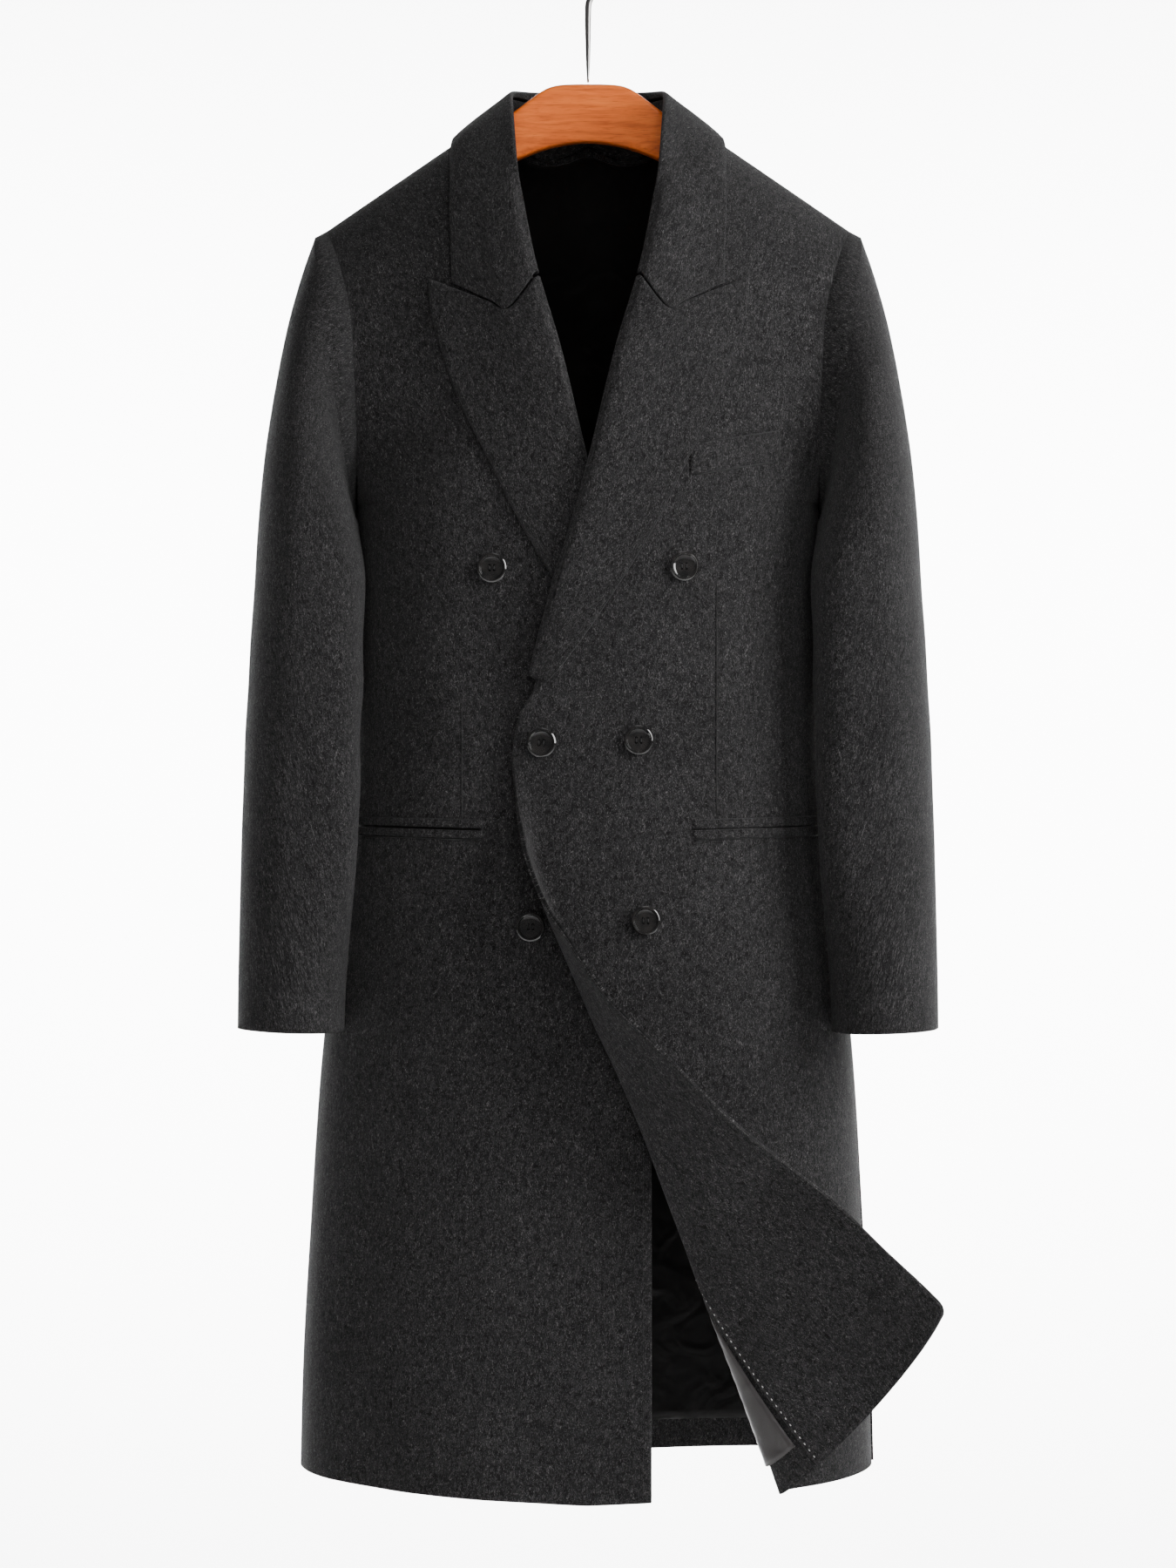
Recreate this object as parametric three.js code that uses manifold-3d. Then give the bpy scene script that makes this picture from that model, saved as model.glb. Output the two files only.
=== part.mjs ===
// A double-breasted wool overcoat with peak lapels, hanging filled out on a wooden hanger.
// Millimetres, +Z up, +X to the viewer's right, the coat's front towards -Y.
// The origin is the point under the hook's bend where a rail carries it.
import * as THREE from "three";
import { mergeVertices } from "three/addons/utils/BufferGeometryUtils.js";
import ManifoldModule from "manifold-3d";

const solids = await ManifoldModule();
solids.setup();
const { Manifold, CrossSection } = solids;

// Driving sizes
const WALL = 2.2; // overcoat cloth
const SEAM = 0.3; // between sewn pieces
const HEM_Z = -1281;
const HEM_RISE = 14; // how much higher the hem lies at the side seams
const UNDERARM_Z = -480;
const TIP_Z = -252; // shoulder tip
const RIDGE_Z = -107; // where the two shoulder seams would meet on the centre line
const ARCH = 2.6; // how square the chest turns over into the shoulder
const RING = 2.3; // how square the body is in plan
const ARMHOLE_DEPTH = 78; // half the armhole, front to back
const NECK_SHARE = 0.32; // half the back neck, as a share of the shoulder
const NECK_DROP = 0.17; // how far the back neck is hollowed, as a share of the yoke
const RIGHT_LAP = 50; // how far the right front runs past the centre
const LEFT_LAP = 61;
const LEFT_LAP_HEM = 84;
const BREAK_Z = -639; // the lapels' lower end
const FOLD_TOP_Z = -700; // where the left front starts to turn back
const EDGE_INSET = 7; // the front's own edge, inside the lapel's roll
const FACING_WALL = 1.2;
const LINING_WALL = 1;
const HEM_BAND = 22; // turned-up cloth left bare below the linings
const BUTTON_RADIUS = 11.8;
const HANGER_TOP_Z = -130;
const HANGER_HALF = 193;
const HOOK_WIRE = 5.6;
const HOOK_RADIUS = 24;

// The body's plan at each height: half its width, and its depth in front and behind
const BODY = [
  { z: -480, half: 190, front: 132, back: 118 },
  { z: -530, half: 190.5, front: 130, back: 116 },
  { z: -600, half: 192, front: 128, back: 113 },
  { z: -690, half: 194, front: 127, back: 112 },
  { z: -800, half: 203, front: 132, back: 116 },
  { z: -924, half: 218, front: 137, back: 124 },
  { z: -1090, half: 228, front: 142, back: 136 },
  { z: -1190, half: 233.5, front: 144, back: 143 },
  { z: HEM_Z, half: 236, front: 146, back: 148 },
];
// How far out the armhole's edge stands, seen from the front
const ARMHOLE = [
  { z: -480, x: 190 },
  { z: -462, x: 188.5 },
  { z: -423, x: 188 },
  { z: -366, x: 190 },
  { z: -325, x: 193 },
  { z: -291, x: 201 },
  { z: -270, x: 208 },
  { z: TIP_Z, x: 216 },
];
// The line on which a front turns over into its lapel; x counts towards the front's own side
const CREASE = [
  { z: -760, x: -LEFT_LAP },
  { z: -687, x: -LEFT_LAP },
  { z: BREAK_Z, x: -52 },
  { z: -548, x: -29 },
  { z: -500, x: -14 },
  { z: -444, x: 1 },
  { z: -361, x: 21 },
  { z: -303, x: 38 },
  { z: -278, x: 44 },
  { z: -236, x: 52 },
  { z: -198, x: 58 },
  { z: -150, x: 64 },
  { z: RIDGE_Z, x: 66 },
];
// The lapel's outer edge, up to the point of its peak
const LAPEL_EDGE = [
  { z: -644, x: -51 },
  { z: -614, x: -22 },
  { z: -562, x: 15 },
  { z: -500, x: 53 },
  { z: -451, x: 77 },
  { z: -403, x: 101 },
  { z: -361, x: 116 },
  { z: -330, x: 125 },
  { z: -301, x: 128 },
];
// Where the left front turns back over itself: the line of the fold down the cloth
const FOLD = [
  { z: FOLD_TOP_Z, x: -61 },
  { z: -780, x: -34 },
  { z: -850, x: -3 },
  { z: -917, x: 29 },
  { z: -986, x: 56 },
  { z: -1055, x: 79 },
  { z: -1124, x: 102 },
  { z: -1193, x: 126 },
  { z: HEM_Z, x: 155 },
];
// Where its turned edge lies: level is the height on the cut cloth, lift the distance off the front
const FLAP_EDGE = [
  { level: -687, x: -61, lift: 0, z: -687 },
  { level: -720, x: -58, lift: 6, z: -719 },
  { level: -748, x: -53, lift: 18, z: -743 },
  { level: -787, x: -43, lift: 34, z: -777 },
  { level: -818, x: -31, lift: 42, z: -804 },
  { level: -844, x: -17, lift: 47, z: -824 },
  { level: -907, x: 17, lift: 56, z: -874 },
  { level: -956, x: 51, lift: 63, z: -908 },
  { level: -1007, x: 85, lift: 71, z: -942 },
  { level: -1057, x: 119, lift: 79, z: -975 },
  { level: -1102, x: 153, lift: 86, z: -1003 },
  { level: -1146, x: 187, lift: 92, z: -1029 },
  { level: -1185, x: 214, lift: 98, z: -1053 },
  { level: -1243, x: 254, lift: 108, z: -1091 },
  { level: HEM_Z, x: 278, lift: 116, z: -1115 },
];
const FLAP_BELLY = 17; // how far the turned cloth's hem bows out
// The sleeve's rings: outer and inner profile seen from the front, middle and half of its depth
const SLEEVE = [
  { ox: 225, oz: -257, ix: 191.3, iz: -484, y: -1, depth: 82 },
  { ox: 235.6, oz: -290, ix: 191.3, iz: -492, y: -9, depth: 85 },
  { ox: 246.3, oz: -333, ix: 190.5, iz: -503, y: -22, depth: 86 },
  { ox: 255.3, oz: -384, ix: 189.5, iz: -520, y: -36, depth: 84.5 },
  { ox: 263.3, oz: -440, ix: 188.5, iz: -545, y: -46, depth: 82 },
  { ox: 268.8, oz: -496, ix: 188.9, iz: -577, y: -51, depth: 79 },
  { ox: 272.8, oz: -556, ix: 190, iz: -612, y: -53, depth: 75 },
  { ox: 277, oz: -624, ix: 191.2, iz: -655, y: -55, depth: 71 },
  { ox: 280, oz: -696, ix: 192.5, iz: -710, y: -59, depth: 67 },
  { ox: 281.5, oz: -768, ix: 194, iz: -773, y: -67, depth: 63 },
  { ox: 282, oz: -838, ix: 195.4, iz: -840, y: -79, depth: 60 },
  { ox: 282, oz: -904, ix: 196.2, iz: -907, y: -93.5, depth: 56 },
];
// The collar's stations from the front over the shoulder to the back of the neck: the fold's crest, the
// outer edge, the side of the coat that edge lies on, the place of the neck seam as a row or a share of the
// back, and how full the leaf is between crest and edge
const NECK = [
  { x: 58, y: -94, z: -198, edgeX: 110, edgeZ: -222, face: -1, seam: -222, full: 1 },
  { x: 60.5, y: -60, z: -164, edgeX: 110, edgeZ: -197, face: -1, seam: -238, full: 0.9 },
  { x: 61.5, y: -26, z: -144, edgeX: 108.5, edgeZ: -184, face: -1, seam: -249, full: 0.35 },
  { x: 61, y: -6, z: -137, edgeX: 107, edgeZ: -178, face: -1, seam: TIP_Z, full: 0.25 },
  { x: 58, y: 14, z: -133, edgeX: 103, edgeZ: -183, face: 1, seam: 1, full: 0.35 },
  { x: 45, y: 45, z: -129, edgeX: 80, edgeZ: -194, face: 1, seam: 0.673, full: 0.9 },
  { x: 24, y: 60, z: -127, edgeX: 43, edgeZ: -196, face: 1, seam: 0.338, full: 1 },
  { x: 0, y: 65, z: -126, edgeX: 0, edgeZ: -196, face: 1, seam: 0, full: 1 },
];
const BUTTONS = [
  { name: "button_right_top", side: -1, x: -76.5, z: -535 },
  { name: "button_left_top", side: 1, x: 76, z: -534 },
  { name: "button_left_edge", side: 1, x: -37, z: -675 },
  { name: "button_left_middle", side: 1, x: 40, z: -673 },
  { name: "button_right_low", side: -1, x: -45.5, z: -822 },
  { name: "button_left_low", side: 1, x: 45.5, z: -817 },
];

const cloth = new THREE.MeshStandardMaterial({ color: 0x242426, roughness: 0.95, metalness: 0 });
const liningCloth = new THREE.MeshStandardMaterial({ color: 0x3f3c3c, roughness: 0.5, metalness: 0 });
const horn = new THREE.MeshStandardMaterial({ color: 0x111110, roughness: 0.25, metalness: 0 });
const beech = new THREE.MeshStandardMaterial({ color: 0xc0662f, roughness: 0.45, metalness: 0 });
const steel = new THREE.MeshStandardMaterial({ color: 0x77736e, roughness: 0.35, metalness: 1 });

// Small sums
const clamp = (v, low, high) => Math.min(high, Math.max(low, v));
const mix = (a, b, t) => a + (b - a) * t;
const ease = (from, to, v) => {
  const t = clamp((v - from) / (to - from), 0, 1);
  return t * t * (3 - 2 * t);
};
const vec = (x, y, z) => new THREE.Vector3(x, y, z);
const steps = (n, at) => Array.from({ length: n + 1 }, (_, i) => at(i / n, i));

// Reads one column of a table at a value of its key column, on a smooth curve through the rows.
function read(table, key, at, column) {
  const rows = [...table].sort((a, b) => a[key] - b[key]);
  const v = clamp(at, rows[0][key], rows.at(-1)[key]);
  const i = clamp(rows.findIndex((row) => row[key] >= v) - 1, 0, rows.length - 2);
  const [a, b] = [rows[i], rows[i + 1]];
  const slope = (j) => {
    const low = rows[Math.max(0, j - 1)];
    const high = rows[Math.min(rows.length - 1, j + 1)];
    return (high[column] - low[column]) / (high[key] - low[key]);
  };
  const span = b[key] - a[key];
  const t = (v - a[key]) / span;
  const t2 = t * t;
  const t3 = t2 * t;
  return (
    (2 * t3 - 3 * t2 + 1) * a[column] +
    (t3 - 2 * t2 + t) * span * slope(i) +
    (3 * t2 - 2 * t3) * b[column] +
    (t3 - t2) * span * slope(i + 1)
  );
}

// The body. A row is named by its height at the side; face is -1 in front and 1 behind.
const yoke = (row) => clamp((row - UNDERARM_Z) / (TIP_Z - UNDERARM_Z), 0, 1);
const halfAt = (row) => (row > UNDERARM_Z ? read(ARMHOLE, "z", row, "x") : read(BODY, "z", row, "half"));

function bodyPoint(row, turn, face) {
  const w = yoke(row);
  const half = halfAt(row);
  const x = half * Math.sin(turn);
  const share = Math.abs(Math.sin(turn));
  const full = read(BODY, "z", Math.min(row, UNDERARM_Z), face < 0 ? "front" : "back");
  const centre = full * (1 - w ** ARCH) ** (1 / ARCH);
  const side = ARMHOLE_DEPTH * Math.sqrt(Math.max(0, 1 - (2 * w - 1) ** 2));
  const bow = Math.max(0, 1 - share ** RING) ** (1 / mix(RING, 1.2, ease(0, 0.25, w)));
  const middle = mix(UNDERARM_Z, RIDGE_Z, w);
  const down = clamp((UNDERARM_Z - row) / (UNDERARM_Z - HEM_Z), 0, 1);
  const z = w > 0 ? mix(middle, row, share) : row + HEM_RISE * share ** 1.2 * down ** 4;
  const depth = centre * bow + side * (1 - bow) ** mix(2.2, 1.5, ease(0, 0.3, w));
  return vec(x, face * (SEAM / 2 + depth), z);
}

// A surface with its outward normal, from a function of two values kept inside their ranges.
function surface(point, uRange, vRange, flip = 1) {
  const du = (uRange[1] - uRange[0]) / 4000;
  const dv = (vRange[1] - vRange[0]) / 4000;
  return (u, v) => {
    const across = point(Math.min(u + du, uRange[1]), v).sub(point(Math.max(u - du, uRange[0]), v));
    const up = point(u, Math.min(v + dv, vRange[1])).sub(point(u, Math.max(v - dv, vRange[0])));
    return { p: point(u, v), n: across.cross(up).multiplyScalar(flip).normalize() };
  };
}

const QUARTER = Math.PI / 2;
const bodySide = (face) => {
  const point = (turn, row) => bodyPoint(row, turn, face);
  const raw = surface(point, [-QUARTER, QUARTER], [HEM_Z, TIP_Z], -face);
  return (turn, row) => {
    const at = raw(turn, row);
    const onSideSeam = Math.abs(turn) > QUARTER - 1e-6 && row <= UNDERARM_Z;
    if (onSideSeam || row >= TIP_Z) {
      at.n.setY(0).normalize();
    }
    return at;
  };
};
const front = bodySide(-1);
const back = bodySide(1);

// The row that passes through a place on the body seen from the front
function rowAt(x, z) {
  if (z <= UNDERARM_Z) {
    return z;
  }
  let [low, high] = [UNDERARM_Z, TIP_Z];
  for (let i = 0; i < 40; i++) {
    const row = (low + high) / 2;
    const here = mix(mix(UNDERARM_Z, RIDGE_Z, yoke(row)), row, Math.min(1, Math.abs(x) / halfAt(row)));
    if (here < z) {
      low = row;
    } else {
      high = row;
    }
  }
  return (low + high) / 2;
}

// How far the right front lies in, under the left one
const lapInset = (side, x, z) =>
  side > 0 ? 0 : mix(5.2, 7.4, ease(-800, -690, z)) * ease(-125, -62, x) * (1 - ease(-440, -340, z));

// A point on a front's outer face moved out along its normal, from a place seen from the front
function onFront(side, x, z, out) {
  const row = rowAt(x, z);
  const { p, n } = front(Math.asin(clamp(x / halfAt(row), -1, 1)), row);
  return p.addScaledVector(n, out).add(vec(0, lapInset(side, x, z), 0));
}
function onBack(x, z, out) {
  const row = rowAt(x, z);
  const { p, n } = back(Math.asin(clamp(x / halfAt(row), -1, 1)), row);
  return p.addScaledVector(n, out);
}

// A solid wall from a grid of points with normals, between two distances along them.
function wall(grid, outer, inner, closed = false) {
  const [rows, columns] = [grid.length, grid[0].length];
  const places = [outer, inner].flatMap((d) =>
    grid.flatMap((row) => row.map(({ p, n }) => p.clone().addScaledVector(n, d))),
  );
  const at = (layer, i, j) => (layer * rows + i) * columns + (j % columns);
  const faces = [];
  const quad = (a, b, c, d) => faces.push(a, b, c, a, c, d);
  const lastColumn = closed ? columns : columns - 1;
  for (let i = 0; i < rows - 1; i++) {
    for (let j = 0; j < lastColumn; j++) {
      quad(at(0, i, j), at(0, i, j + 1), at(0, i + 1, j + 1), at(0, i + 1, j));
      quad(at(1, i, j), at(1, i + 1, j), at(1, i + 1, j + 1), at(1, i, j + 1));
    }
  }
  for (let j = 0; j < lastColumn; j++) {
    quad(at(1, 0, j), at(1, 0, j + 1), at(0, 0, j + 1), at(0, 0, j));
    quad(at(0, rows - 1, j), at(0, rows - 1, j + 1), at(1, rows - 1, j + 1), at(1, rows - 1, j));
  }
  if (!closed) {
    for (let i = 0; i < rows - 1; i++) {
      quad(at(0, i, 0), at(0, i + 1, 0), at(1, i + 1, 0), at(1, i, 0));
      const k = columns - 1;
      quad(at(1, i, k), at(1, i + 1, k), at(0, i + 1, k), at(0, i, k));
    }
  }
  return solidOf(places, faces);
}

// A closed geometry from its points and the corners of its faces
function solidOf(places, faces) {
  const geometry = new THREE.BufferGeometry();
  const numbers = places.flatMap((p) => p.toArray());
  geometry.setAttribute("position", new THREE.Float32BufferAttribute(numbers, 3));
  geometry.setIndex(faces);
  return facingOut(geometry);
}

// Turns a closed geometry's faces outwards.
function facingOut(geometry) {
  const p = geometry.attributes.position;
  const index = geometry.index.array;
  const corner = (k) => vec(p.getX(index[k]), p.getY(index[k]), p.getZ(index[k]));
  let volume = 0;
  for (let k = 0; k < index.length; k += 3) {
    volume += corner(k).dot(corner(k + 1).cross(corner(k + 2)));
  }
  if (volume < 0) {
    for (let k = 0; k < index.length; k += 3) {
      [index[k + 1], index[k + 2]] = [index[k + 2], index[k + 1]];
    }
  }
  geometry.computeVertexNormals();
  return geometry;
}

const coat = new THREE.Group();
function add(name, geometry, material) {
  const mesh = new THREE.Mesh(geometry, material);
  mesh.name = name;
  coat.add(mesh);
  return mesh;
}

// Heights of a panel's rows: even down the skirt, and round the armhole as on a circle
const rows = [
  HEM_Z,
  ...steps(10, (t) => mix(HEM_Z + HEM_BAND, FOLD_TOP_Z, t)),
  ...steps(8, (t) => mix(FOLD_TOP_Z, UNDERARM_Z, t)).slice(1),
  ...steps(11, (t) => mix(UNDERARM_Z, TIP_Z, (1 - Math.cos(Math.PI * t)) / 2)).slice(1),
];
const FOLD_ROW = 11; // the row at the fold's top

// Where a front's own edge crosses a row
function edgeTurn(side, row) {
  const lap = side < 0 ? RIGHT_LAP : LEFT_LAP;
  const inset = (z) => EDGE_INSET * ease(BREAK_Z - 14, BREAK_Z + 8, z);
  const edgeX = (z) => Math.max(-lap, read(CREASE, "z", z, "x") + inset(z));
  const half = halfAt(row);
  const middle = mix(UNDERARM_Z, RIDGE_Z, yoke(row));
  const heightAt = (x) => (row > UNDERARM_Z ? mix(middle, row, Math.abs(x) / half) : row);
  let [low, high] = [-lap - 1, 90];
  for (let i = 0; i < 40; i++) {
    const x = (low + high) / 2;
    if (x < edgeX(heightAt(x))) {
      low = x;
    } else {
      high = x;
    }
  }
  return Math.asin(high / half);
}

const rightFrontAt = (share, row) => {
  const turn = mix(QUARTER, edgeTurn(-1, row), share);
  const at = front(-turn, row);
  at.p.y += lapInset(-1, at.p.x, at.p.z);
  return at;
};

// The left front. A place on its cut cloth is named by how far across it would lie if the coat were closed;
// below the fold's top the cloth past the fold line is turned back over the front.
const foldX = (row) => read(FOLD, "z", row, "x");
const leftEdgeX = (row) => {
  const down = clamp((FOLD_TOP_Z - row) / (FOLD_TOP_Z - HEM_Z), 0, 1);
  return -mix(LEFT_LAP, LEFT_LAP_HEM, down);
};
const FOLD_LEAST = 26; // the least cloth between fold and edge
const FOLD_TURN = 95; // how far the fold's roll reaches into the turned cloth
function leftFrontPoint(across, row) {
  const half = halfAt(row);
  const turned = row < FLAP_EDGE[0].level;
  const flatEdge = leftEdgeX(row);
  const fold = Math.max(foldX(row), flatEdge + FOLD_LEAST);
  const turn = Math.asin(clamp(Math.max(across, turned ? fold : -half) / half, -1, 1));
  const from = bodyPoint(row, turn, -1);
  if (!turned || across >= fold) {
    return from;
  }
  const along = bodyPoint(row, turn - 0.002, -1).sub(from).normalize();
  const column = (name) => read(FLAP_EDGE, "level", row, name);
  const rest = onFront(1, clamp(column("x"), -LEFT_LAP, 150), column("z"), column("lift"));
  const to = vec(column("x"), rest.y, column("z"));
  const chord = to.clone().sub(from);
  const length = fold - flatEdge;
  const t = ((fold - across) / length) ** 0.77;
  const t2 = t * t;
  const t3 = t2 * t;
  const belly = FLAP_BELLY * ease(-1000, HEM_Z, row) * 4 * t * (1 - t);
  return from
    .multiplyScalar(2 * t3 - 3 * t2 + 1)
    .addScaledVector(along, Math.min(length, FOLD_TURN) * (t3 - 2 * t2 + t))
    .addScaledVector(to, 3 * t2 - 2 * t3)
    .addScaledVector(chord, t3 - t2)
    .add(vec(0.7 * belly, 0, -0.7 * belly));
}

// A row of the left front's points: from the side seam to the facing's edge, and on to the front edge
const FACING_EDGE = 86;
const SIDE_COLUMNS = 9;
const FACING_COLUMNS = 10;
function leftFrontRow(row) {
  const half = halfAt(row);
  const edge = row < CREASE[0].z ? leftEdgeX(row) : half * Math.sin(edgeTurn(1, row));
  const facing = Math.max(FACING_EDGE, edge + 40);
  const sideTurns = steps(SIDE_COLUMNS, (t) => half * Math.sin(mix(QUARTER, Math.asin(facing / half), t)));
  const faceTurns = steps(FACING_COLUMNS, (t) => mix(facing, edge, t)).slice(1);
  const raw = surface((x, r) => leftFrontPoint(x, r), [-half, half], [HEM_Z, TIP_Z], 1);
  return [...sideTurns, ...faceTurns].map((across) => {
    const at = raw(across, row);
    if ((across > half - 1e-6 && row <= UNDERARM_Z) || row >= TIP_Z) {
      at.n.setY(0).normalize();
    }
    return at;
  });
}

// The back, hollowed at the neck
const neckLevel = (turn) => {
  const share = Math.abs(Math.sin(turn)) / NECK_SHARE;
  const drop = share < 1 ? NECK_DROP * Math.sqrt(1 - share * share) : 0;
  return mix(UNDERARM_Z, TIP_Z, 1 - drop);
};
const NECK_TURN = Math.asin(NECK_SHARE);
const halfTurns = [
  ...steps(3, (t) => NECK_TURN * t),
  ...steps(7, (t) => mix(NECK_TURN, QUARTER, t)).slice(1),
];
const backTurns = [...halfTurns.slice(1).map((turn) => -turn).reverse(), ...halfTurns];

const hollowed = (turn, row) => (row > UNDERARM_Z ? mix(UNDERARM_Z, neckLevel(turn), yoke(row)) : row);

function addPanels() {
  const cloths = {
    right_front: rows.map((row) => steps(12, (t) => rightFrontAt(t, row))),
    left_front: rows.map(leftFrontRow),
    back: rows.map((row) => backTurns.map((turn) => back(turn, hollowed(turn, row)))),
  };
  for (const [name, grid] of Object.entries(cloths)) {
    add(name, wall(grid, 0, -WALL), cloth);
  }
  // The facing and the linings lie on the panels' inner faces, from the panels' own points
  const under = (grid, thick, gap = SEAM) => wall(grid, -WALL - gap, -WALL - gap - thick);
  const turned = cloths.left_front.slice(0, FOLD_ROW + 1);
  add("left_front_facing", under(turned.map((line) => line.slice(SIDE_COLUMNS)), FACING_WALL), cloth);
  const beside = (line) => {
    const [a, b] = line.slice(SIDE_COLUMNS - 1, SIDE_COLUMNS + 1);
    return { p: a.p.clone().lerp(b.p, 0.95), n: a.n.clone().lerp(b.n, 0.95).normalize() };
  };
  const lined = turned.slice(1).map((line) => [...line.slice(0, SIDE_COLUMNS), beside(line)]);
  add("left_front_lining", under(lined, LINING_WALL, 2), liningCloth);
  const some = [1, 2, 3, 5, 7, 8, 10, 12, 13, 15, 17, 18, 19]; // the neck's corners among them
  const backLined = cloths.back.slice(1, -1).map((line) => some.map((j) => line[j]));
  add("back_lining", under(backLined, LINING_WALL, 1.9), liningCloth);
}

// Sleeves: the first ring is the armhole's own edge, then the rings of the table
function addSleeve(side, name) {
  const around = 20;
  const ringOf = (place) => steps(around, (t) => place(t * 2 * Math.PI)).slice(0, around);
  const head = ringOf((turn) => {
    const face = Math.sin(turn) > 0 ? -1 : 1;
    const row = mix(UNDERARM_Z, TIP_Z, (1 + Math.cos(turn)) / 2);
    const panel = face < 0 ? front : back;
    const { p, n } = panel(QUARTER, row);
    const inner = panel(QUARTER - 0.01, row).p;
    const out = p.clone().sub(inner).normalize();
    if (Math.abs(Math.sin(turn)) < 1e-6) {
      p.y = 0;
      n.setY(0).normalize();
      out.set(Math.cos(turn) > 0 ? 0.8 : 0, 0, -0.6).normalize();
    }
    return { p: p.addScaledVector(out, SEAM + 0.1), n };
  });
  const tubeRing = (row) =>
    ringOf((turn) => {
      const middle = vec((row.ox + row.ix) / 2, row.y, (row.oz + row.iz) / 2);
      const reach = vec((row.ox - row.ix) / 2, 0, (row.oz - row.iz) / 2);
      return middle.addScaledVector(reach, Math.cos(turn)).add(vec(0, -row.depth * Math.sin(turn), 0));
    });
  const rings = [head.map((h) => h.p), ...SLEEVE.map(tubeRing)];
  const grid = rings.map((ring, i) =>
    ring.map((p, j) => {
      if (i === 0) {
        return head[j];
      }
      const before = ring[(j + around - 1) % around];
      const after = ring[(j + 1) % around];
      const above = rings[i - 1][j];
      const below = rings[Math.min(i + 1, rings.length - 1)][j];
      const n = after.clone().sub(before).cross(below.clone().sub(above)).normalize();
      return { p, n };
    }),
  );
  const sample = grid[8][6];
  const flip = sample.n.y > 0 ? -1 : 1;
  const turned = grid.map((ring, i) =>
    ring.map(({ p, n }) => ({
      p: vec(p.x * side, p.y, p.z),
      n: vec(n.x * side, n.y, n.z).multiplyScalar(i === 0 ? 1 : flip),
    })),
  );
  add(name, wall(turned, 0, -WALL, true), cloth);
}

// A section across a lapel or collar leaf, from inside the front's edge, round the roll, to the outer edge.
// Its numbers: across as a share of the leaf or in millimetres from the roll, and height off the front.
function leafSection(side, crease, outer, sag, lift, roll) {
  const width = outer.x - crease.x;
  const bend = Math.min(24, width * 0.5); // where the gorge turns
  const place = (across, out) => {
    const dip = across < bend ? across / bend : (width - across) / (width - bend);
    const z = mix(crease.z, outer.z, across / width) - sag * dip;
    return onFront(side, side * (crease.x + across), z, out);
  };
  const level = (across, out) => onFront(side, side * (crease.x + across), crease.z, out);
  const rise = (across) => lift + WALL + roll * (across / 13) * Math.exp(1 - across / 13);
  const leaf = [Math.min(7, width * 0.3), bend, ...[0.25, 0.5, 0.75, 1].map((q) => mix(bend, width, q))];
  return [
    level(EDGE_INSET - 1, -WALL),
    level(2.4, -WALL),
    level(0, lift / 2),
    level(2.4, lift + WALL),
    ...leaf.map((across) => place(across, rise(across))),
  ];
}

function gridWithNormals(points, flip) {
  const last = [points.length - 1, points[0].length - 1];
  return points.map((line, i) =>
    line.map((p, j) => {
      const along = points[Math.min(i + 1, last[0])][j].clone().sub(points[Math.max(i - 1, 0)][j]);
      const across = line[Math.min(j + 1, last[1])].clone().sub(line[Math.max(j - 1, 0)]);
      return { p, n: across.cross(along).multiplyScalar(flip).normalize() };
    }),
  );
}

const GORGE = { crease: { x: 38, z: -303 }, notch: { x: 108, z: -308 }, sag: 27 };
const PEAK = { x: 128, z: -301 };

function addLapel(side, name) {
  const lift = side > 0 ? 2.4 : 1.2;
  const count = 18;
  const lines = steps(count, (t) => {
    const creaseZ = mix(BREAK_Z + 18, GORGE.crease.z, t);
    const edgeZ = mix(BREAK_Z + 13, PEAK.z, t);
    const crease = { x: read(CREASE, "z", creaseZ, "x"), z: creaseZ };
    const outer = { x: read(LAPEL_EDGE, "z", edgeZ, "x"), z: edgeZ };
    const open = side > 0 ? ease(0, 0.3, t) : ease(0.45, 0.75, t);
    return leafSection(side, crease, outer, GORGE.sag * ease(0.75, 1, t) * t, lift, 5 * open);
  });
  add(name, wall(gridWithNormals(lines, side), 0, -WALL), cloth);
}

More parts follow.
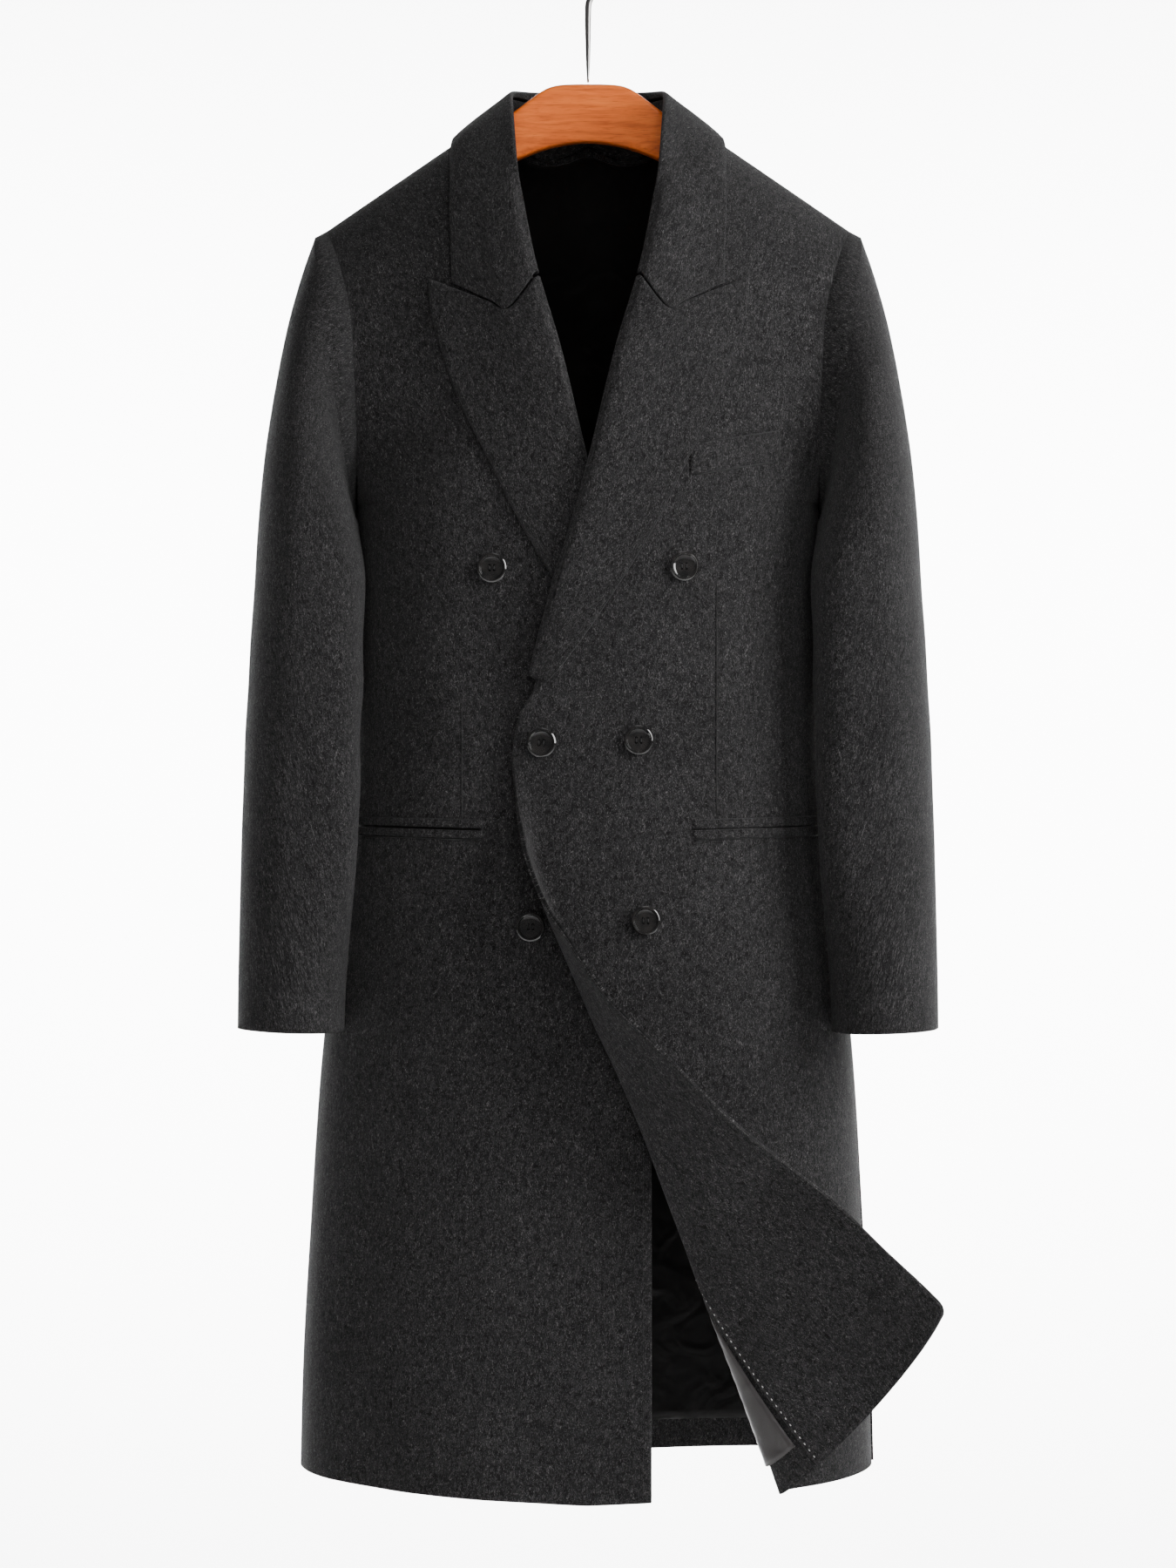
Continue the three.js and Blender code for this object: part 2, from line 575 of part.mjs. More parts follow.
// One half of the collar as sections from the gorge to the middle of the back; each holds the fold's inner
// lip, its crest and the leaf down to the outer edge
function neckSeam(side, row) {
  const at =
    row.face < 0
      ? front(side * edgeTurn(1, row.seam), row.seam)
      : back(side * Math.asin(NECK_SHARE * row.seam), neckLevel(Math.asin(NECK_SHARE * row.seam)));
  const away = vec(at.p.x, at.p.y + 10, 0).normalize();
  return at.p.addScaledVector(away, -WALL - 0.5).add(vec(0, 0, 0.5));
}
function collarHalf(side) {
  const lift = 1.9;
  const gorge = steps(4, (t) => {
    const creaseZ = mix(GORGE.crease.z + 3.3, -236, t);
    const crease = { x: read(CREASE, "z", creaseZ, "x"), z: creaseZ };
    const outer = { x: mix(GORGE.notch.x, 110, t), z: mix(GORGE.notch.z + 2, -248, t) };
    return leafSection(side, crease, outer, mix(GORGE.sag, 14, t), lift, mix(5, 6, t));
  });
  const over = NECK.map((row) => {
    const crest = vec(side * row.x, row.y, row.z);
    const seam = neckSeam(side, row);
    const edge =
      row.face < 0
        ? onFront(1, row.edgeX, row.edgeZ, lift + WALL + 1)
        : onBack(row.edgeX, row.edgeZ, lift + WALL + 1);
    edge.x *= side;
    const down = seam.clone().sub(crest).normalize();
    const away = edge.clone().sub(crest).setZ(0).normalize();
    const start = crest.clone().addScaledVector(away, 5.5).add(vec(0, 0, -1.5));
    const span = edge.distanceTo(start);
    const straight = edge.clone().sub(start).multiplyScalar(1 / (0.8 * span));
    const leaving = straight.clone().lerp(away.clone().add(vec(0, 0, -0.7)), row.full);
    const arriving = straight.lerp(away.clone().multiplyScalar(0.35).add(vec(0, 0, -1)), row.full);
    const leaf = (t) => {
      const t2 = t * t;
      const t3 = t2 * t;
      return start
        .clone()
        .multiplyScalar(2 * t3 - 3 * t2 + 1)
        .addScaledVector(leaving, span * 0.8 * (t3 - 2 * t2 + t))
        .addScaledVector(edge, 3 * t2 - 2 * t3)
        .addScaledVector(arriving, span * 0.8 * (t3 - t2));
    };
    return [
      crest.clone().addScaledVector(down, 8).addScaledVector(away, -0.4),
      crest.clone().addScaledVector(down, 3.5).addScaledVector(away, -0.6),
      crest.clone().addScaledVector(away, 2),
      start,
      ...[0.12, 0.27, 0.45, 0.64, 0.82, 1].map(leaf),
    ];
  });
  return [...gorge, ...over];
}
function addCollar() {
  const [right, left] = [collarHalf(-1), collarHalf(1)];
  const lines = [...right, ...left.slice(0, -1).reverse()];
  add("collar_fall", wall(gridWithNormals(lines, -1), 0, -WALL), cloth);
  const standHalf = (side) =>
    NECK.slice(1).map((row) => {
      const crest = vec(side * row.x, row.y, row.z);
      const seam = neckSeam(side, row);
      const down = seam.clone().sub(crest);
      const reach = down.length();
      down.normalize();
      const away = vec(crest.x, crest.y + 10, 0).normalize();
      const top = crest.clone().addScaledVector(down, 12).addScaledVector(away, -0.4);
      const foot = crest.clone().addScaledVector(down, Math.max(reach - 0.8, 13));
      return steps(2, (t) => top.clone().lerp(foot, t));
    });
  const stand = [...standHalf(-1), ...standHalf(1).slice(0, -1).reverse()];
  add("collar_stand", wall(gridWithNormals(stand, 1), 0, -WALL), cloth);
}

// A flat strip laid on a front: its corners seen from the front, and its two distances off the cloth
function strip(side, from, to, height, inner, outer, across) {
  const points = steps(2, (v) =>
    steps(across, (t) => {
      const q = Math.sin(t * QUARTER);
      const x = mix(from.x, to.x, q);
      const z = mix(from.z, to.z, q) + height * v;
      const p = onFront(side, x, z, 0);
      const n = onFront(side, x, z, 1).sub(p);
      return { p, n };
    }),
  );
  return wall(points, outer, inner);
}
function addPockets() {
  for (const side of [-1, 1]) {
    const word = side < 0 ? "right" : "left";
    const [near, far] = [
      { x: side * 84, z: -743.6 },
      { x: side * 188, z: -741 },
    ];
    const lower = (place) => ({ x: place.x, z: place.z - 8.4 });
    add(`${word}_pocket_upper_jet`, strip(side, near, far, 6.4, 0.7, 2.5, 9), cloth);
    add(`${word}_pocket_lower_jet`, strip(side, lower(near), lower(far), 6.4, 0.7, 2.5, 9), cloth);
  }
  const welt = strip(1, { x: 82, z: -461 }, { x: 153, z: -447 }, 23.4, 1.2, 2.3, 9);
  add("breast_pocket_welt", welt, cloth);
}

// Buttons: a turned disc with a raised rim and four holes
function buttonDisc() {
  const R = BUTTON_RADIUS;
  const outline = [
    [R - 2.5, 0],
    [R, 1.6],
    [R, 3],
    [R - 1.2, 4.2],
    [R - 3.2, 3],
    [0, 2.2],
    [0, 0],
  ];
  const disc = new CrossSection([outline]).revolve(18);
  const hole = Manifold.cylinder(10, 1.05, 1.05, 6, true);
  const holes = [1, -1].flatMap((x) => [1, -1].map((y) => hole.translate([x * 1.9, y * 1.9, 0])));
  const mesh = disc.subtract(Manifold.union(holes)).getMesh();
  const geometry = new THREE.BufferGeometry();
  geometry.setAttribute("position", new THREE.BufferAttribute(new Float32Array(mesh.vertProperties), 3));
  geometry.setIndex([...mesh.triVerts]);
  return geometry;
}
// A button's seat: the front's slope under it is taken over its whole width
function addButtons() {
  for (const { name, side, x, z } of BUTTONS) {
    const at = (dx, dz) => onFront(side, x + dx, z + dz, 0);
    const n = at(8, 0).sub(at(-8, 0)).cross(at(0, 8).sub(at(0, -8))).normalize();
    const seat = new THREE.Quaternion().setFromUnitVectors(vec(0, 0, 1), n);
    const geometry = buttonDisc().applyQuaternion(seat);
    geometry.translate(...at(0, 0).addScaledVector(n, 0.9).toArray());
    add(name, facingOut(geometry), horn);
  }
}

// The hanger: a shaped wooden bar, its arms just under the shoulder seams, and a steel hook
const HANGER = [
  { x: 0, top: HANGER_TOP_Z, foot: -177, half: 8 },
  { x: 24, top: HANGER_TOP_Z, foot: -181, half: 8.2 },
  { x: 37, top: -133.5, foot: -184, half: 8.6 },
  { x: 60, top: -153, foot: -193, half: 10 },
  { x: 100, top: -180, foot: -213, half: 13 },
  { x: 140, top: -206.5, foot: -235, half: 15.5 },
  { x: 172, top: -228, foot: -252, half: 16.5 },
  { x: 186, top: -237, foot: -258, half: 15.5 },
  { x: HANGER_HALF, top: -243.5, foot: -259, half: 11 },
];
function addHanger() {
  const around = 14;
  const stations = [...HANGER.slice(1).map((h) => ({ ...h, x: -h.x })).reverse(), ...HANGER];
  const rings = stations.map(({ x, top, foot, half }) =>
    steps(around, (t) => {
      const turn = t * 2 * Math.PI;
      const squared = (v) => Math.sign(v) * Math.abs(v) ** 0.75;
      const rise = ((top - foot) / 2) * squared(Math.cos(turn));
      return vec(x, half * squared(Math.sin(turn)), (top + foot) / 2 + rise);
    }).slice(0, around),
  );
  add("hanger", tube(rings), beech);
  const radius = HOOK_RADIUS;
  const centreZ = HOOK_WIRE / 2 - radius;
  const arc = steps(10, (t) => {
    const turn = mix(0, Math.PI + 0.35, t);
    return vec(radius * Math.cos(turn), 0, centreZ + radius * Math.sin(turn));
  });
  const path = new THREE.CatmullRomCurve3([
    vec(0, 0, HANGER_TOP_Z + SEAM),
    vec(0, 0, -100),
    vec(0, 0, -72),
    vec(1.5, 0, -60),
    vec(11, 0, -47),
    vec(20.5, 0, -35),
    ...arc,
  ]);
  const circle = new THREE.Shape().absarc(0, 0, HOOK_WIRE / 2, 0, 2 * Math.PI);
  const rod = new THREE.ExtrudeGeometry(circle, { steps: 30, curveSegments: 4, extrudePath: path });
  rod.deleteAttribute("normal").deleteAttribute("uv");
  add("hanger_hook", facingOut(mergeVertices(rod, 1e-3)), steel);
}

// A closed solid from rings, each end filled
function tube(rings) {
  const around = rings[0].length;
  const last = rings.length - 1;
  const middle = (ring) => ring.reduce((sum, p) => sum.add(p), vec(0, 0, 0)).divideScalar(around);
  const places = [...rings.flat(), middle(rings[0]), middle(rings[last])];
  const ends = rings.length * around;
  const faces = [];
  for (let j = 0; j < around; j++) {
    const k = (j + 1) % around;
    for (let i = 0; i < last; i++) {
      const [a, b] = [i * around, (i + 1) * around];
      faces.push(a + j, a + k, b + k, a + j, b + k, b + j);
    }
    faces.push(ends, k, j, ends + 1, last * around + j, last * around + k);
  }
  return solidOf(places, faces);
}

addPanels();
addSleeve(-1, "right_sleeve");
addSleeve(1, "left_sleeve");
addLapel(-1, "right_lapel");
addLapel(1, "left_lapel");
addCollar();
addPockets();
addButtons();
addHanger();

export default coat;
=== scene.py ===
"""Looks of a double-breasted wool overcoat on a wooden hanger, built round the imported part."""

import math

import bpy
import numpy as np
from mathutils import Matrix, Vector


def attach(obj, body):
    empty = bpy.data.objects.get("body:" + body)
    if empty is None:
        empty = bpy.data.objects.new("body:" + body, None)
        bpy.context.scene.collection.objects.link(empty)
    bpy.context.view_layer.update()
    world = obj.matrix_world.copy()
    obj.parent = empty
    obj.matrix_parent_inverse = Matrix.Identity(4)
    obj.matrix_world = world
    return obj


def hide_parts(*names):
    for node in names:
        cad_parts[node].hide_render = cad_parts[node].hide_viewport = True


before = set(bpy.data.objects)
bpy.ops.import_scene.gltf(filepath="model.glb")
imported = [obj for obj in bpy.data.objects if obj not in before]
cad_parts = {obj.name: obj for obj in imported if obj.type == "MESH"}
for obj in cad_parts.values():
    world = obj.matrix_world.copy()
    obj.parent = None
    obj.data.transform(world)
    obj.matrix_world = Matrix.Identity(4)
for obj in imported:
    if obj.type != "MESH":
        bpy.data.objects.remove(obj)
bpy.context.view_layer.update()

# Sizes in millimetres; the meshes are made in metres
MM = 0.001
WALL = 2.2
FACING_WALL = 1.2
LINING_WALL = 1.0
SEAM = 0.3
HEM_Z = -1281.0
HEM_RISE = 14.0
UNDERARM_Z = -480.0
TIP_Z = -252.0
RIDGE_Z = -107.0
ARCH = 2.6
RING = 2.3
ARMHOLE_DEPTH = 78.0
NECK_SHARE = 0.32
NECK_DROP = 0.17
RIGHT_LAP = 50.0
LEFT_LAP = 61.0
LEFT_LAP_HEM = 84.0
BREAK_Z = -639.0
FOLD_TOP_Z = -700.0
FOLD_LEAST = 26.0
FOLD_TURN = 95.0
FLAP_BELLY = 17.0
EDGE_INSET = 7.0
FACING_EDGE = 86.0
HEM_BAND = 22.0
BUTTON_RADIUS = 11.8
BUTTON_HOLE = 1.9
POCKET_NEAR = 84
POCKET_FAR = 188
JET_HEIGHT = 6.4
STITCH = 2.6
STITCH_EVERY = 3.8
ON_CLOTH = 0.05
ELBOW_Z = -640
HOOK_RADIUS = 24.0
WIRE_RADIUS = 2.8
SIDE_COLUMNS = 46
HANGER_TOP_Z = -130.0
QUARTER = math.pi / 2


def table(columns, *rows):
    return dict(zip(columns.split(), np.array(rows, dtype=float).T))


BODY = table(
    "z half front back",
    (-480, 190, 132, 118),
    (-530, 190.5, 130, 116),
    (-600, 192, 128, 113),
    (-690, 194, 127, 112),
    (-800, 203, 132, 116),
    (-924, 218, 137, 124),
    (-1090, 228, 142, 136),
    (-1190, 233.5, 144, 143),
    (HEM_Z, 236, 146, 148),
)
ARMHOLE = table(
    "z x",
    (-480, 190),
    (-462, 188.5),
    (-423, 188),
    (-366, 190),
    (-325, 193),
    (-291, 201),
    (-270, 208),
    (TIP_Z, 216),
)
CREASE = table(
    "z x",
    (-760, -LEFT_LAP),
    (-687, -LEFT_LAP),
    (BREAK_Z, -52),
    (-548, -29),
    (-500, -14),
    (-444, 1),
    (-361, 21),
    (-303, 38),
    (-278, 44),
    (-236, 52),
    (-198, 58),
    (-150, 64),
    (RIDGE_Z, 66),
)
LAPEL_EDGE = table(
    "z x",
    (-644, -51),
    (-614, -22),
    (-562, 15),
    (-500, 53),
    (-451, 77),
    (-403, 101),
    (-361, 116),
    (-330, 125),
    (-301, 128),
)
FOLD = table(
    "z x",
    (FOLD_TOP_Z, -61),
    (-780, -34),
    (-850, -3),
    (-917, 29),
    (-986, 56),
    (-1055, 79),
    (-1124, 102),
    (-1193, 126),
    (HEM_Z, 155),
)
FLAP_EDGE = table(
    "level x lift z",
    (-687, -61, 0, -687),
    (-720, -58, 6, -719),
    (-748, -53, 18, -743),
    (-787, -43, 34, -777),
    (-818, -31, 42, -804),
    (-844, -17, 47, -824),
    (-907, 17, 56, -874),
    (-956, 51, 63, -908),
    (-1007, 85, 71, -942),
    (-1057, 119, 79, -975),
    (-1102, 153, 86, -1003),
    (-1146, 187, 92, -1029),
    (-1185, 214, 98, -1053),
    (-1243, 254, 108, -1091),
    (HEM_Z, 278, 116, -1115),
)
SLEEVE = table(
    "ox oz ix iz y depth",
    (225, -257, 191.3, -484, -1, 82),
    (235.6, -290, 191.3, -492, -9, 85),
    (246.3, -333, 190.5, -503, -22, 86),
    (255.3, -384, 189.5, -520, -36, 84.5),
    (263.3, -440, 188.5, -545, -46, 82),
    (268.8, -496, 188.9, -577, -51, 79),
    (272.8, -556, 190, -612, -53, 75),
    (277, -624, 191.2, -655, -55, 71),
    (280, -696, 192.5, -710, -59, 67),
    (281.5, -768, 194, -773, -67, 63),
    (282, -838, 195.4, -840, -79, 60),
    (282, -904, 196.2, -907, -93.5, 56),
)
# The collar from the front over the shoulder to the back: the fold's crest and the outer edge on the coat
NECK = table(
    "x y z edge_x edge_z face seam full",
    (58, -94, -198, 110, -222, -1, -222, 1),
    (60.5, -60, -164, 110, -197, -1, -238, 0.9),
    (61.5, -26, -144, 108.5, -184, -1, -249, 0.35),
    (61, -6, -137, 107, -178, -1, TIP_Z, 0.25),
    (58, 14, -133, 103, -183, 1, 1, 0.35),
    (45, 45, -129, 80, -194, 1, 0.673, 0.9),
    (24, 60, -127, 43, -196, 1, 0.338, 1),
    (0, 65, -126, 0, -196, 1, 0, 1),
)
GORGE_CREASE = (38.0, -303.0)
GORGE_NOTCH = (108.0, -308.0)
GORGE_SAG = 27.0
PEAK_Z = -301.0
BUTTONS = (
    ("button_right_top", -1, -76.5, -535),
    ("button_left_top", 1, 76, -534),
    ("button_left_edge", 1, -37, -675),
    ("button_left_middle", 1, 40, -673),
    ("button_right_low", -1, -45.5, -822),
    ("button_left_low", 1, 45.5, -817),
)


# Small sums over arrays
def mix(a, b, t):
    return a + (b - a) * t


def ease(low, high, v):
    t = np.clip((v - low) / (high - low), 0, 1)
    return t * t * (3 - 2 * t)


def read(rows, at, column, key="z"):
    """A column of a table at a value of its key column, on a smooth curve through the rows."""
    order = np.argsort(rows[key])
    k = rows[key][order]
    v = rows[column][order]
    high = np.minimum(np.arange(len(k)) + 1, len(k) - 1)
    low = np.maximum(np.arange(len(k)) - 1, 0)
    slope = (v[high] - v[low]) / (k[high] - k[low])
    at = np.clip(at, k[0], k[-1])
    i = np.clip(np.searchsorted(k, at) - 1, 0, len(k) - 2)
    span = k[i + 1] - k[i]
    t = (at - k[i]) / span
    t2 = t * t
    t3 = t2 * t
    return (
        (2 * t3 - 3 * t2 + 1) * v[i]
        + (t3 - 2 * t2 + t) * span * slope[i]
        + (3 * t2 - 2 * t3) * v[i + 1]
        + (t3 - t2) * span * slope[i + 1]
    )


def points(x, y, z):
    return np.stack(np.broadcast_arrays(x, y, z), axis=-1).astype(float)


def unit(v):
    return v / np.maximum(np.linalg.norm(v, axis=-1, keepdims=True), 1e-9)


def steps(n, low=0.0, high=1.0):
    return np.linspace(low, high, n + 1)


# The body: a row is named by its height at the side, face is -1 in front and 1 behind
def yoke(row):
    return np.clip((row - UNDERARM_Z) / (TIP_Z - UNDERARM_Z), 0, 1)


def half_at(row):
    row = np.asarray(row, dtype=float)
    return np.where(row > UNDERARM_Z, read(ARMHOLE, row, "x"), read(BODY, row, "half"))


def body_point(turn, row, face):
    w = yoke(row)
    half = half_at(row)
    share = np.abs(np.sin(turn))
    full = read(BODY, np.minimum(row, UNDERARM_Z), "front" if face < 0 else "back")
    centre = full * (1 - w**ARCH) ** (1 / ARCH)
    side = ARMHOLE_DEPTH * np.sqrt(np.maximum(0, 1 - (2 * w - 1) ** 2))
    bow = np.maximum(0, 1 - share**RING) ** (1 / mix(RING, 1.2, ease(0, 0.25, w)))
    depth = centre * bow + side * (1 - bow) ** mix(2.2, 1.5, ease(0, 0.3, w))
    down = np.clip((UNDERARM_Z - row) / (UNDERARM_Z - HEM_Z), 0, 1)
    skirt = row + HEM_RISE * share**1.2 * down**4
    z = np.where(w > 0, mix(mix(UNDERARM_Z, RIDGE_Z, w), row, share), skirt)
    return points(half * np.sin(turn), face * (SEAM / 2 + depth), z)


def surface(point, u, v, u_range, v_range, flip):
    """Points of a surface and their outward normals, from a function of two values kept in their ranges."""
    u, v = np.broadcast_arrays(np.asarray(u, dtype=float), np.asarray(v, dtype=float))
    du = (u_range[1] - u_range[0]) / 2000
    dv = (v_range[1] - v_range[0]) / 2000
    across = point(np.minimum(u + du, u_range[1]), v) - point(np.maximum(u - du, u_range[0]), v)
    up = point(u, np.minimum(v + dv, v_range[1])) - point(u, np.maximum(v - dv, v_range[0]))
    return point(u, v), unit(np.cross(across, up)) * flip


def body(turn, row, face):
    p, n = surface(
        lambda t, r: body_point(t, r, face), turn, row, (-QUARTER, QUARTER), (HEM_Z, TIP_Z), -face
    )
    turn, row = np.broadcast_arrays(turn, row)
    flat = ((np.abs(turn) > QUARTER - 1e-6) & (row <= UNDERARM_Z)) | (row >= TIP_Z)
    n = np.where(flat[..., None], n * (1, 0, 1), n)
    return p, unit(n)


def row_at(x, z):
    low = np.full(np.shape(x), UNDERARM_Z)
    high = np.full(np.shape(x), TIP_Z)
    for _ in range(34):
        row = (low + high) / 2
        middle = mix(UNDERARM_Z, RIDGE_Z, yoke(row))
        here = mix(middle, row, np.minimum(1, np.abs(x) / half_at(row)))
        low = np.where(here < z, row, low)
        high = np.where(here < z, high, row)
    return np.where(z <= UNDERARM_Z, z, (low + high) / 2)


def lap_inset(side, x, z):
    if side > 0:
        return np.zeros(np.shape(x))
    return mix(5.2, 7.4, ease(-800, -690, z)) * ease(-125, -62, x) * (1 - ease(-440, -340, z))


def on_body(face, x, z, out):
    x, z, out = np.broadcast_arrays(np.asarray(x, float), np.asarray(z, float), np.asarray(out, float))
    row = row_at(x, z)
    p, n = body(np.arcsin(np.clip(x / half_at(row), -1, 1)), row, face)
    return p + n * out[..., None]


def on_front(side, x, z, out):
    """A place on a front seen from the front, moved out along its normal."""
    p = on_body(-1, x, z, out)
    p[..., 1] += lap_inset(side, np.asarray(x, float), np.asarray(z, float))
    return p


def edge_turn(side, row):
    lap = RIGHT_LAP if side < 0 else LEFT_LAP
    half = half_at(row)
    middle = mix(UNDERARM_Z, RIDGE_Z, yoke(row))
    low = np.full(np.shape(row), -lap - 1)
    high = np.full(np.shape(row), 90.0)
    for _ in range(34):
        x = (low + high) / 2
        z = np.where(row > UNDERARM_Z, mix(middle, row, np.abs(x) / half), row)
        inset = EDGE_INSET * ease(BREAK_Z - 14, BREAK_Z + 8, z)
        edge = np.maximum(-lap, read(CREASE, z, "x") + inset)
        low = np.where(x < edge, x, low)
        high = np.where(x < edge, high, x)
    return np.arcsin(high / half)


def neck_level(turn):
    share = np.abs(np.sin(turn)) / NECK_SHARE
    drop = NECK_DROP * np.sqrt(np.maximum(0, 1 - share * share))
    return mix(UNDERARM_Z, TIP_Z, 1 - drop)


# The left front, whose lower corner is turned back over it
def fold_x(row):
    return read(FOLD, row, "x")


def left_edge_x(row):
    return -mix(LEFT_LAP, LEFT_LAP_HEM, np.clip((FOLD_TOP_Z - row) / (FOLD_TOP_Z - HEM_Z), 0, 1))


def left_front_point(across, row):
    half = half_at(row)
    turned = row < -687
    flat_edge = left_edge_x(row)
    fold = np.maximum(fold_x(row), flat_edge + FOLD_LEAST)
    turn = np.arcsin(np.clip(np.maximum(across, np.where(turned, fold, -half)) / half, -1, 1))
    start = body_point(turn, row, -1)
    along = unit(body_point(turn - 0.002, row, -1) - start)
    x = read(FLAP_EDGE, row, "x", "level")
    z = read(FLAP_EDGE, row, "z", "level")
    rest = on_front(1, np.clip(x, -LEFT_LAP, 150), z, read(FLAP_EDGE, row, "lift", "level"))
    end = points(x, rest[..., 1], z)
    length = fold - flat_edge
    t = np.clip((fold - across) / length, 0, 1)[..., None] ** 0.77
    t2 = t * t
    t3 = t2 * t
    over = (
        start * (2 * t3 - 3 * t2 + 1)
        + along * np.minimum(length, FOLD_TURN)[..., None] * (t3 - 2 * t2 + t)
        + end * (3 * t2 - 2 * t3)
        + (end - start) * (t3 - t2)
        + (FLAP_BELLY * ease(-1000, HEM_Z, row))[..., None] * 4 * t * (1 - t) * (0.7, 0, -0.7)
    )
    return np.where((turned & (across < fold))[..., None], over, start)


def left_front(across, row):
    across, row = np.broadcast_arrays(np.asarray(across, float), np.asarray(row, float))
    half = half_at(row)
    p, n = surface(left_front_point, across, row, (-300, 300), (HEM_Z, TIP_Z), 1)
    flat = ((across > half - 1e-6) & (row <= UNDERARM_Z)) | (row >= TIP_Z)
    return p, unit(np.where(flat[..., None], n * (1, 0, 1), n))


# Meshes
def make_mesh(name, verts, faces, uvs, material, smooth=True):
    mesh = bpy.data.meshes.new(name)
    mesh.from_pydata((np.asarray(verts) * MM).tolist(), [], faces)
    mesh.validate()
    if uvs is not None:
        layer = mesh.uv_layers.new(name="cloth")
        loops = np.empty(len(mesh.loops), dtype=np.int32)
        mesh.loops.foreach_get("vertex_index", loops)
        layer.data.foreach_set("uv", (np.asarray(uvs)[loops] * MM).ravel())
    mesh.polygons.foreach_set("use_smooth", [smooth] * len(mesh.polygons))
    mesh.materials.append(material)
    obj = bpy.data.objects.new(name, mesh)
    bpy.context.collection.objects.link(obj)
    return obj


def grid_normals(p, closed=False):
    along = np.gradient(p, axis=0)
    if closed:
        across = np.roll(p, -1, axis=1) - np.roll(p, 1, axis=1)
    else:
        across = np.gradient(p, axis=1)
    return unit(np.cross(across, along))


def shell(name, p, n, material, wall=WALL, inner_gap=0.0, closed=False, swell=0.7):
    """A closed sheet of cloth with a rounded rim: p its outer face, n the way out of it."""
    rows, cols = p.shape[:2]
    outer = p - n * inner_gap
    inner = p - n * (inner_gap + wall)
    middle = p - n * (inner_gap + wall / 2)
    rim = []
    if closed:
        loops = [[(0, j) for j in range(cols)], [(rows - 1, j) for j in range(cols)][::-1]]
    else:
        loop = [(0, j) for j in range(cols)]
        loop += [(i, cols - 1) for i in range(1, rows)]
        loop += [(rows - 1, j) for j in range(cols - 2, -1, -1)]
        loop += [(i, 0) for i in range(rows - 2, 0, -1)]
        loops = [loop]
    verts = [outer.reshape(-1, 3), inner.reshape(-1, 3)]
    faces = []
    count = rows * cols
    wrap = cols if closed else cols - 1
    i, j = np.meshgrid(np.arange(rows - 1), np.arange(wrap), indexing="ij")
    k = (j + 1) % cols
    a, b, c, d = (x.ravel() for x in (i * cols + j, i * cols + k, (i + 1) * cols + k, (i + 1) * cols + j))
    faces += np.stack([a, b, c, d], axis=1).tolist()
    faces += np.stack([a + count, d + count, c + count, b + count], axis=1).tolist()
    base = 2 * count
    for loop in loops:
        m = len(loop)
        at = np.array(loop)
        mid = middle[at[:, 0], at[:, 1]]
        ahead = unit(np.roll(mid, -1, axis=0) - np.roll(mid, 1, axis=0))
        away = np.cross(ahead, n[at[:, 0], at[:, 1]])
        verts.append(mid + unit(away) * swell)
        for q in range(m):
            r = (q + 1) % m
            o1, o2 = (loop[q][0] * cols + loop[q][1], loop[r][0] * cols + loop[r][1])
            faces.append([o1, base + q, base + r, o2])
            faces.append([base + q, o1 + count, o2 + count, base + r])
        base += m
    uv = along_cloth(p)
    extra = np.concatenate([uv[np.array(l)[:, 0], np.array(l)[:, 1]] for l in loops])
    flat = uv.reshape(-1, 2)
    obj = make_mesh(name, np.concatenate(verts), faces, np.concatenate([flat, flat, extra]), material)
    if closed:
        close_uv(obj, uv[:, -1, 0] - uv[:, 0, 0] + np.linalg.norm(p[:, 0] - p[:, -1], axis=1), cols)
    recalc(obj)
    return obj


def along_cloth(p):
    """Places on the flat cloth in millimetres, measured along the grid's rows and columns."""
    across = np.cumsum(np.linalg.norm(np.diff(p, axis=1), axis=2), axis=1)
    across = np.concatenate([0 * across[:, :1], across], axis=1)
    across -= across[:, p.shape[1] // 2, None]
    down = np.cumsum(np.linalg.norm(np.diff(p, axis=0), axis=2), axis=0)
    return np.stack([across, np.concatenate([0 * down[:1], down])], axis=-1)


def close_uv(obj, girth, cols):
    """On the last column's faces the first column lies one girth further on."""
    mesh = obj.data
    layer = mesh.uv_layers[0].data
    uv = np.empty(len(mesh.loops) * 2)
    corner = np.empty(len(mesh.loops), dtype=np.int32)
    layer.foreach_get("uv", uv)
    mesh.loops.foreach_get("vertex_index", corner)
    uv = uv.reshape(-1, 2)
    face = np.arange(cols - 1, 2 * (len(girth) - 1) * cols, cols)
    loop = (face[:, None] * 4 + np.arange(4)).ravel()
    place = corner[loop] % (len(girth) * cols)
    first = place % cols == 0
    uv[loop[first], 0] += girth[place[first] // cols] * MM
    layer.foreach_set("uv", uv.ravel())


def recalc(obj):
    """Faces turned out, from the sign of the closed mesh's volume."""
    mesh = obj.data
    mesh.calc_loop_triangles()
    tris = np.empty(len(mesh.loop_triangles) * 3, dtype=np.int32)
    mesh.loop_triangles.foreach_get("vertices", tris)
    co = np.empty(len(mesh.vertices) * 3)
    mesh.vertices.foreach_get("co", co)
    a, b, c = np.moveaxis(co.reshape(-1, 3)[tris.reshape(-1, 3)], 1, 0)
    if np.einsum("ij,ij->i", a, np.cross(b, c)).sum() < 0:
        mesh.flip_normals()


